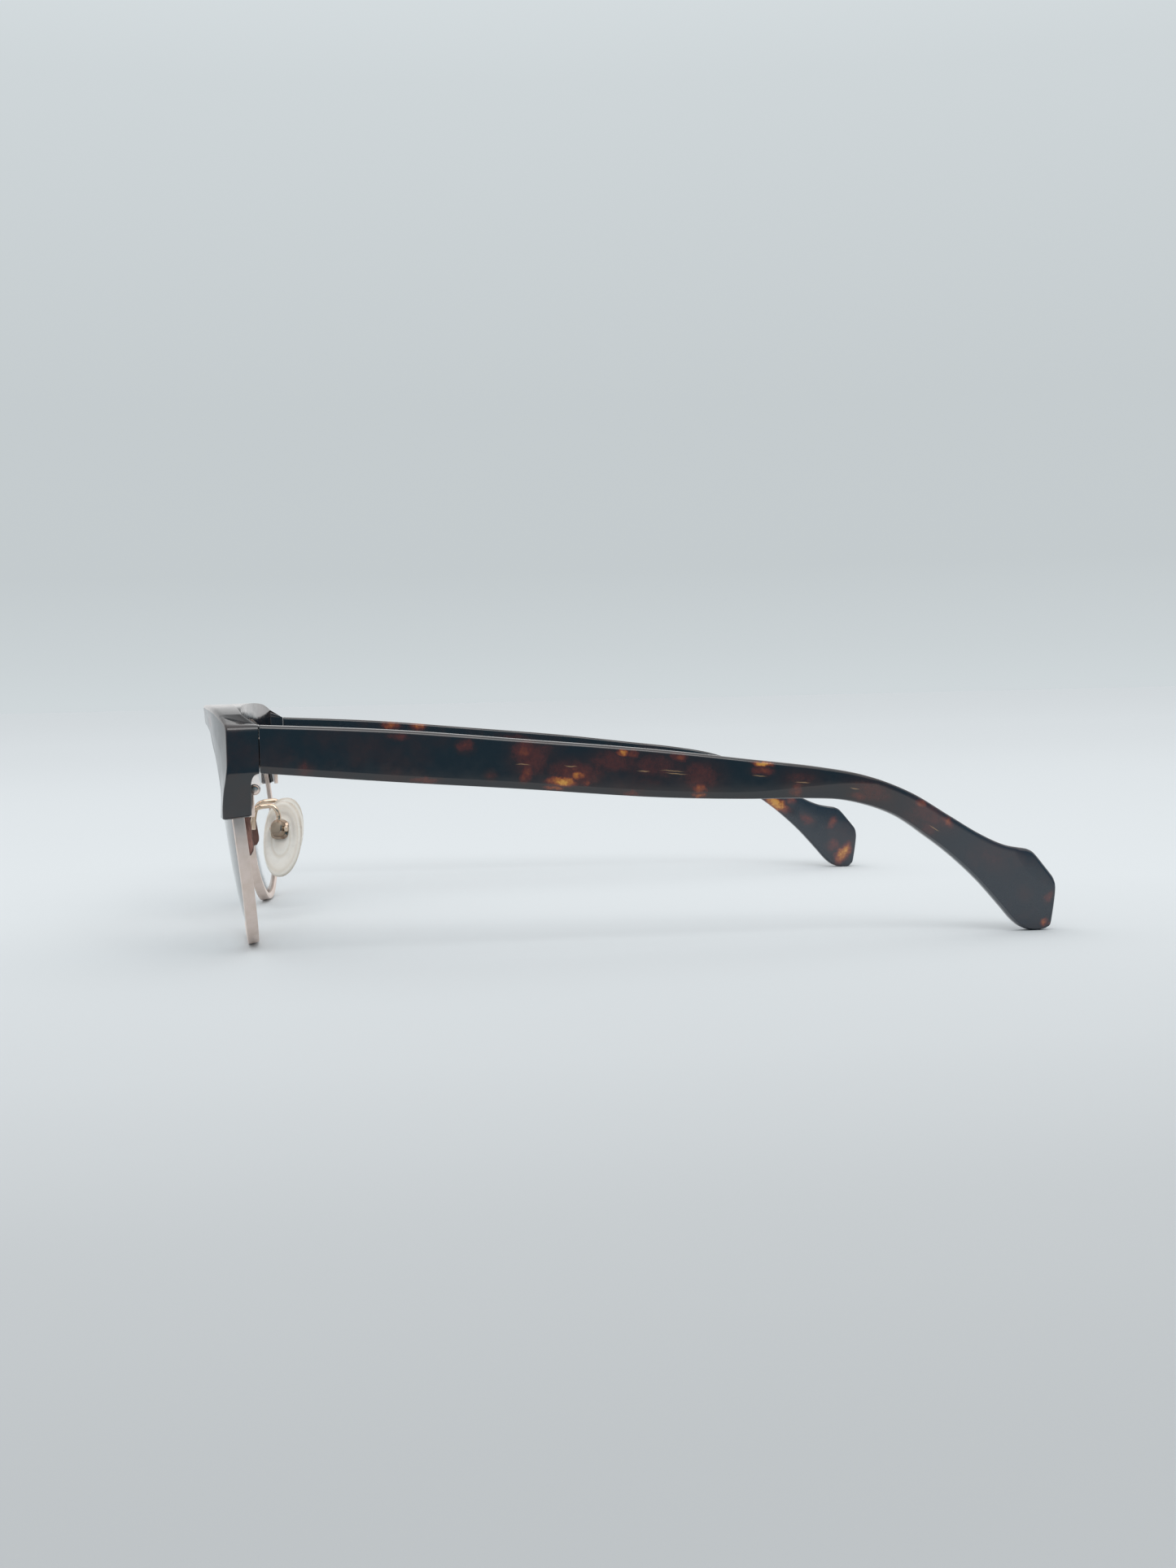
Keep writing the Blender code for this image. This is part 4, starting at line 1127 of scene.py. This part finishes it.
# Screen levels of the floor at distances along x, in millimetres: painted light, brightest behind the
# glasses and falling off towards the camera.
FLOOR_PAINTED_LIGHT_LEVELS = (
    (-10000, 225.5),
    (-3500, 227.5),
    (-1693, 231),
    (-631, 230),
    (-290, 227),
    (-20, 223),
    (90, 213),
    (157, 204),
    (197, 196),
    (225, 189),
    (246, 185.5),
    (274, 180),
    (290, 178),
)
FLOOR_TINT = (0.978, 1.0, 1.012)
# Half of the floor's colour ramp is spent on distances within this of the middle.
FLOOR_NEAR = 300.0

# Screen levels of the backdrop at heights of view, from level up: painted light and shade, darkest a little
# above level and brighter higher up.
SKY_PAINTED_LIGHT_LEVELS = ((0.0, 215), (0.023, 210), (0.067, 203), (0.154, 204), (0.236, 209), (0.313, 214), (0.36, 221))
SKY_TINT = (0.966, 1.0, 1.014)
WHITE = (1.0, 1.0, 1.0, 1.0)
# What the pieces reflect: by height from straight down to straight up, and by side on the way
# from behind the glasses to the camera, where the room is dim and bluish below these heights.
LIT_BY_HEIGHT = (
    (0.0, (0.6, 0.6, 0.6)),
    (0.5, (0.8, 0.8, 0.8)),
    (0.6, (0.85, 0.85, 0.85)),
    (0.8, (0.95, 0.95, 0.95)),
)
LIT_BY_SIDE = (
    (0.0, (1.25, 1.25, 1.25)),
    (0.35, (1.0, 1.0, 1.0)),
    (0.75, (0.28, 0.41, 0.5)),
    (1.0, (0.14, 0.28, 0.38)),
)
SIDE_RANGE = (-0.4, 0.8)
DIM_BELOW = (0.55, 0.3)

# Lights: (name, place, target, size, power), in metres and watts.
LIGHTS = (
    ("overhead", (-0.15, 0.0, 0.75), (0.0, 0.0, 0.0), (1.0, 0.9), 0.7),
    ("fill", (0.5, 0.05, 0.5), (0.0, 0.0, 0.02), (0.5, 0.3), 1.1),
)


def tinted(level, tint):
    """A linear colour from a screen level 0..255 and a tint."""
    s = level / 255
    linear = s / 12.92 if s <= 0.04045 else ((s + 0.055) / 1.055) ** 2.4
    return tuple(linear * share ** 2.2 for share in tint)


def turned(a, b, angle):
    """Two axes at right angles, turned together by the angle."""
    return math.cos(angle) * a - math.sin(angle) * b, math.sin(angle) * a + math.cos(angle) * b


def camera():
    data = bpy.data.cameras.new("camera")
    data.lens = CAMERA_LENS
    data.clip_start, data.clip_end = CAMERA_CLIP
    obj = bpy.data.objects.new("camera", data)
    bpy.context.scene.collection.objects.link(obj)
    yaw, pitch, roll = (math.radians(a) for a in (CAMERA_YAW, CAMERA_PITCH, CAMERA_ROLL))
    ahead = Vector((-math.cos(yaw), math.sin(yaw), 0.0))
    right = Vector((math.sin(yaw), math.cos(yaw), 0.0))
    up = Vector((0.0, 0.0, 1.0))
    ahead, up = turned(ahead, up, pitch)
    up, right = turned(up, right, roll)
    turn = Matrix((right, up, -ahead)).transposed()
    x, y, z = CAMERA_PLACE
    obj.matrix_world = Matrix.Translation((x * MM, (y - MID_Y) * MM, z * MM)) @ turn.to_4x4()
    bpy.context.scene.camera = obj


def floor():
    """A wide pale table, whose edge is just behind the camera, with painted light that dims towards the
    camera.
    """
    half, edge = FLOOR_HALF, FLOOR_EDGE
    corners = [(-half, -half, 0), (edge, -half, 0), (edge, half, 0), (-half, half, 0)]
    mesh = bpy.data.meshes.new("floor")
    mesh.from_pydata(corners, [], [(0, 1, 2, 3)])
    obj = bpy.data.objects.new("floor", mesh)
    bpy.context.scene.collection.objects.link(obj)
    n = Nodes("floor_card")
    x = n.add("ShaderNodeSeparateXYZ", n.place()).outputs[0]
    # Distances are squeezed by an arc tangent, so that the far floor fits on one ramp.
    angle = n.math("ARCTANGENT", n.math("DIVIDE", x, FLOOR_NEAR))
    share = n.math("ADD", n.math("DIVIDE", angle, math.pi), 0.5)
    stops = []
    for distance, level in FLOOR_PAINTED_LIGHT_LEVELS:
        stops.append((math.atan(distance / FLOOR_NEAR) / math.pi + 0.5, tinted(level, FLOOR_TINT)))
    paper = n.noise(n.place(), 0.8, 3.0).outputs["Fac"]
    n.set(
        Base_Color=n.ramp(share, stops),
        Roughness=0.6,
        Specular_IOR_Level=0.0,
        Normal=n.bump(paper, 0.02, 0.05),
    )
    mesh.materials.append(n.material)


def world():
    """The pale backdrop as it is seen, with painted light and shade, and the brighter and dimmer sides that
    the pieces reflect.
    """
    made = bpy.data.worlds.new("studio")
    bpy.context.scene.world = made
    made.use_nodes = True
    made.node_tree.nodes.clear()
    n = Tree(made.node_tree)
    view = n.add("ShaderNodeSeparateXYZ", n.add("ShaderNodeTexCoord").outputs["Generated"])
    across, height = view.outputs[0], view.outputs[2]
    shown = n.ramp(height, [(share, tinted(level, SKY_TINT)) for share, level in SKY_PAINTED_LIGHT_LEVELS])
    lit = n.ramp(n.spread(height, -1.0, 1.0, kind="LINEAR"), LIT_BY_HEIGHT)
    shade = n.ramp(n.spread(across, *SIDE_RANGE, kind="LINEAR"), LIT_BY_SIDE)
    shade = n.mix(n.spread(height, *DIM_BELOW, kind="LINEAR"), WHITE, shade)
    reflected = n.mix(1.0, lit, shade, blend_type="MULTIPLY")
    path = n.add("ShaderNodeLightPath")
    seen = n.math("MAXIMUM", path.outputs["Is Camera Ray"], path.outputs["Is Transmission Ray"])
    background = n.add("ShaderNodeBackground", n.mix(seen, reflected, shown))
    n.add("ShaderNodeOutputWorld", background.outputs[0])


def area_light(name, place, target, size, power):
    data = bpy.data.lights.new(name, "AREA")
    data.shape = "RECTANGLE"
    data.size, data.size_y = size
    data.energy = power
    obj = bpy.data.objects.new(name, data)
    obj.location = place
    obj.rotation_euler = (Vector(target) - Vector(place)).to_track_quat("-Z", "Y").to_euler()
    bpy.context.scene.collection.objects.link(obj)


def studio():
    """The camera, the floor, what surrounds them and the lights."""
    bpy.context.scene.view_settings.view_transform = "Standard"
    camera()
    floor()
    world()
    for light in LIGHTS:
        area_light(*light)


build_glasses()
studio()
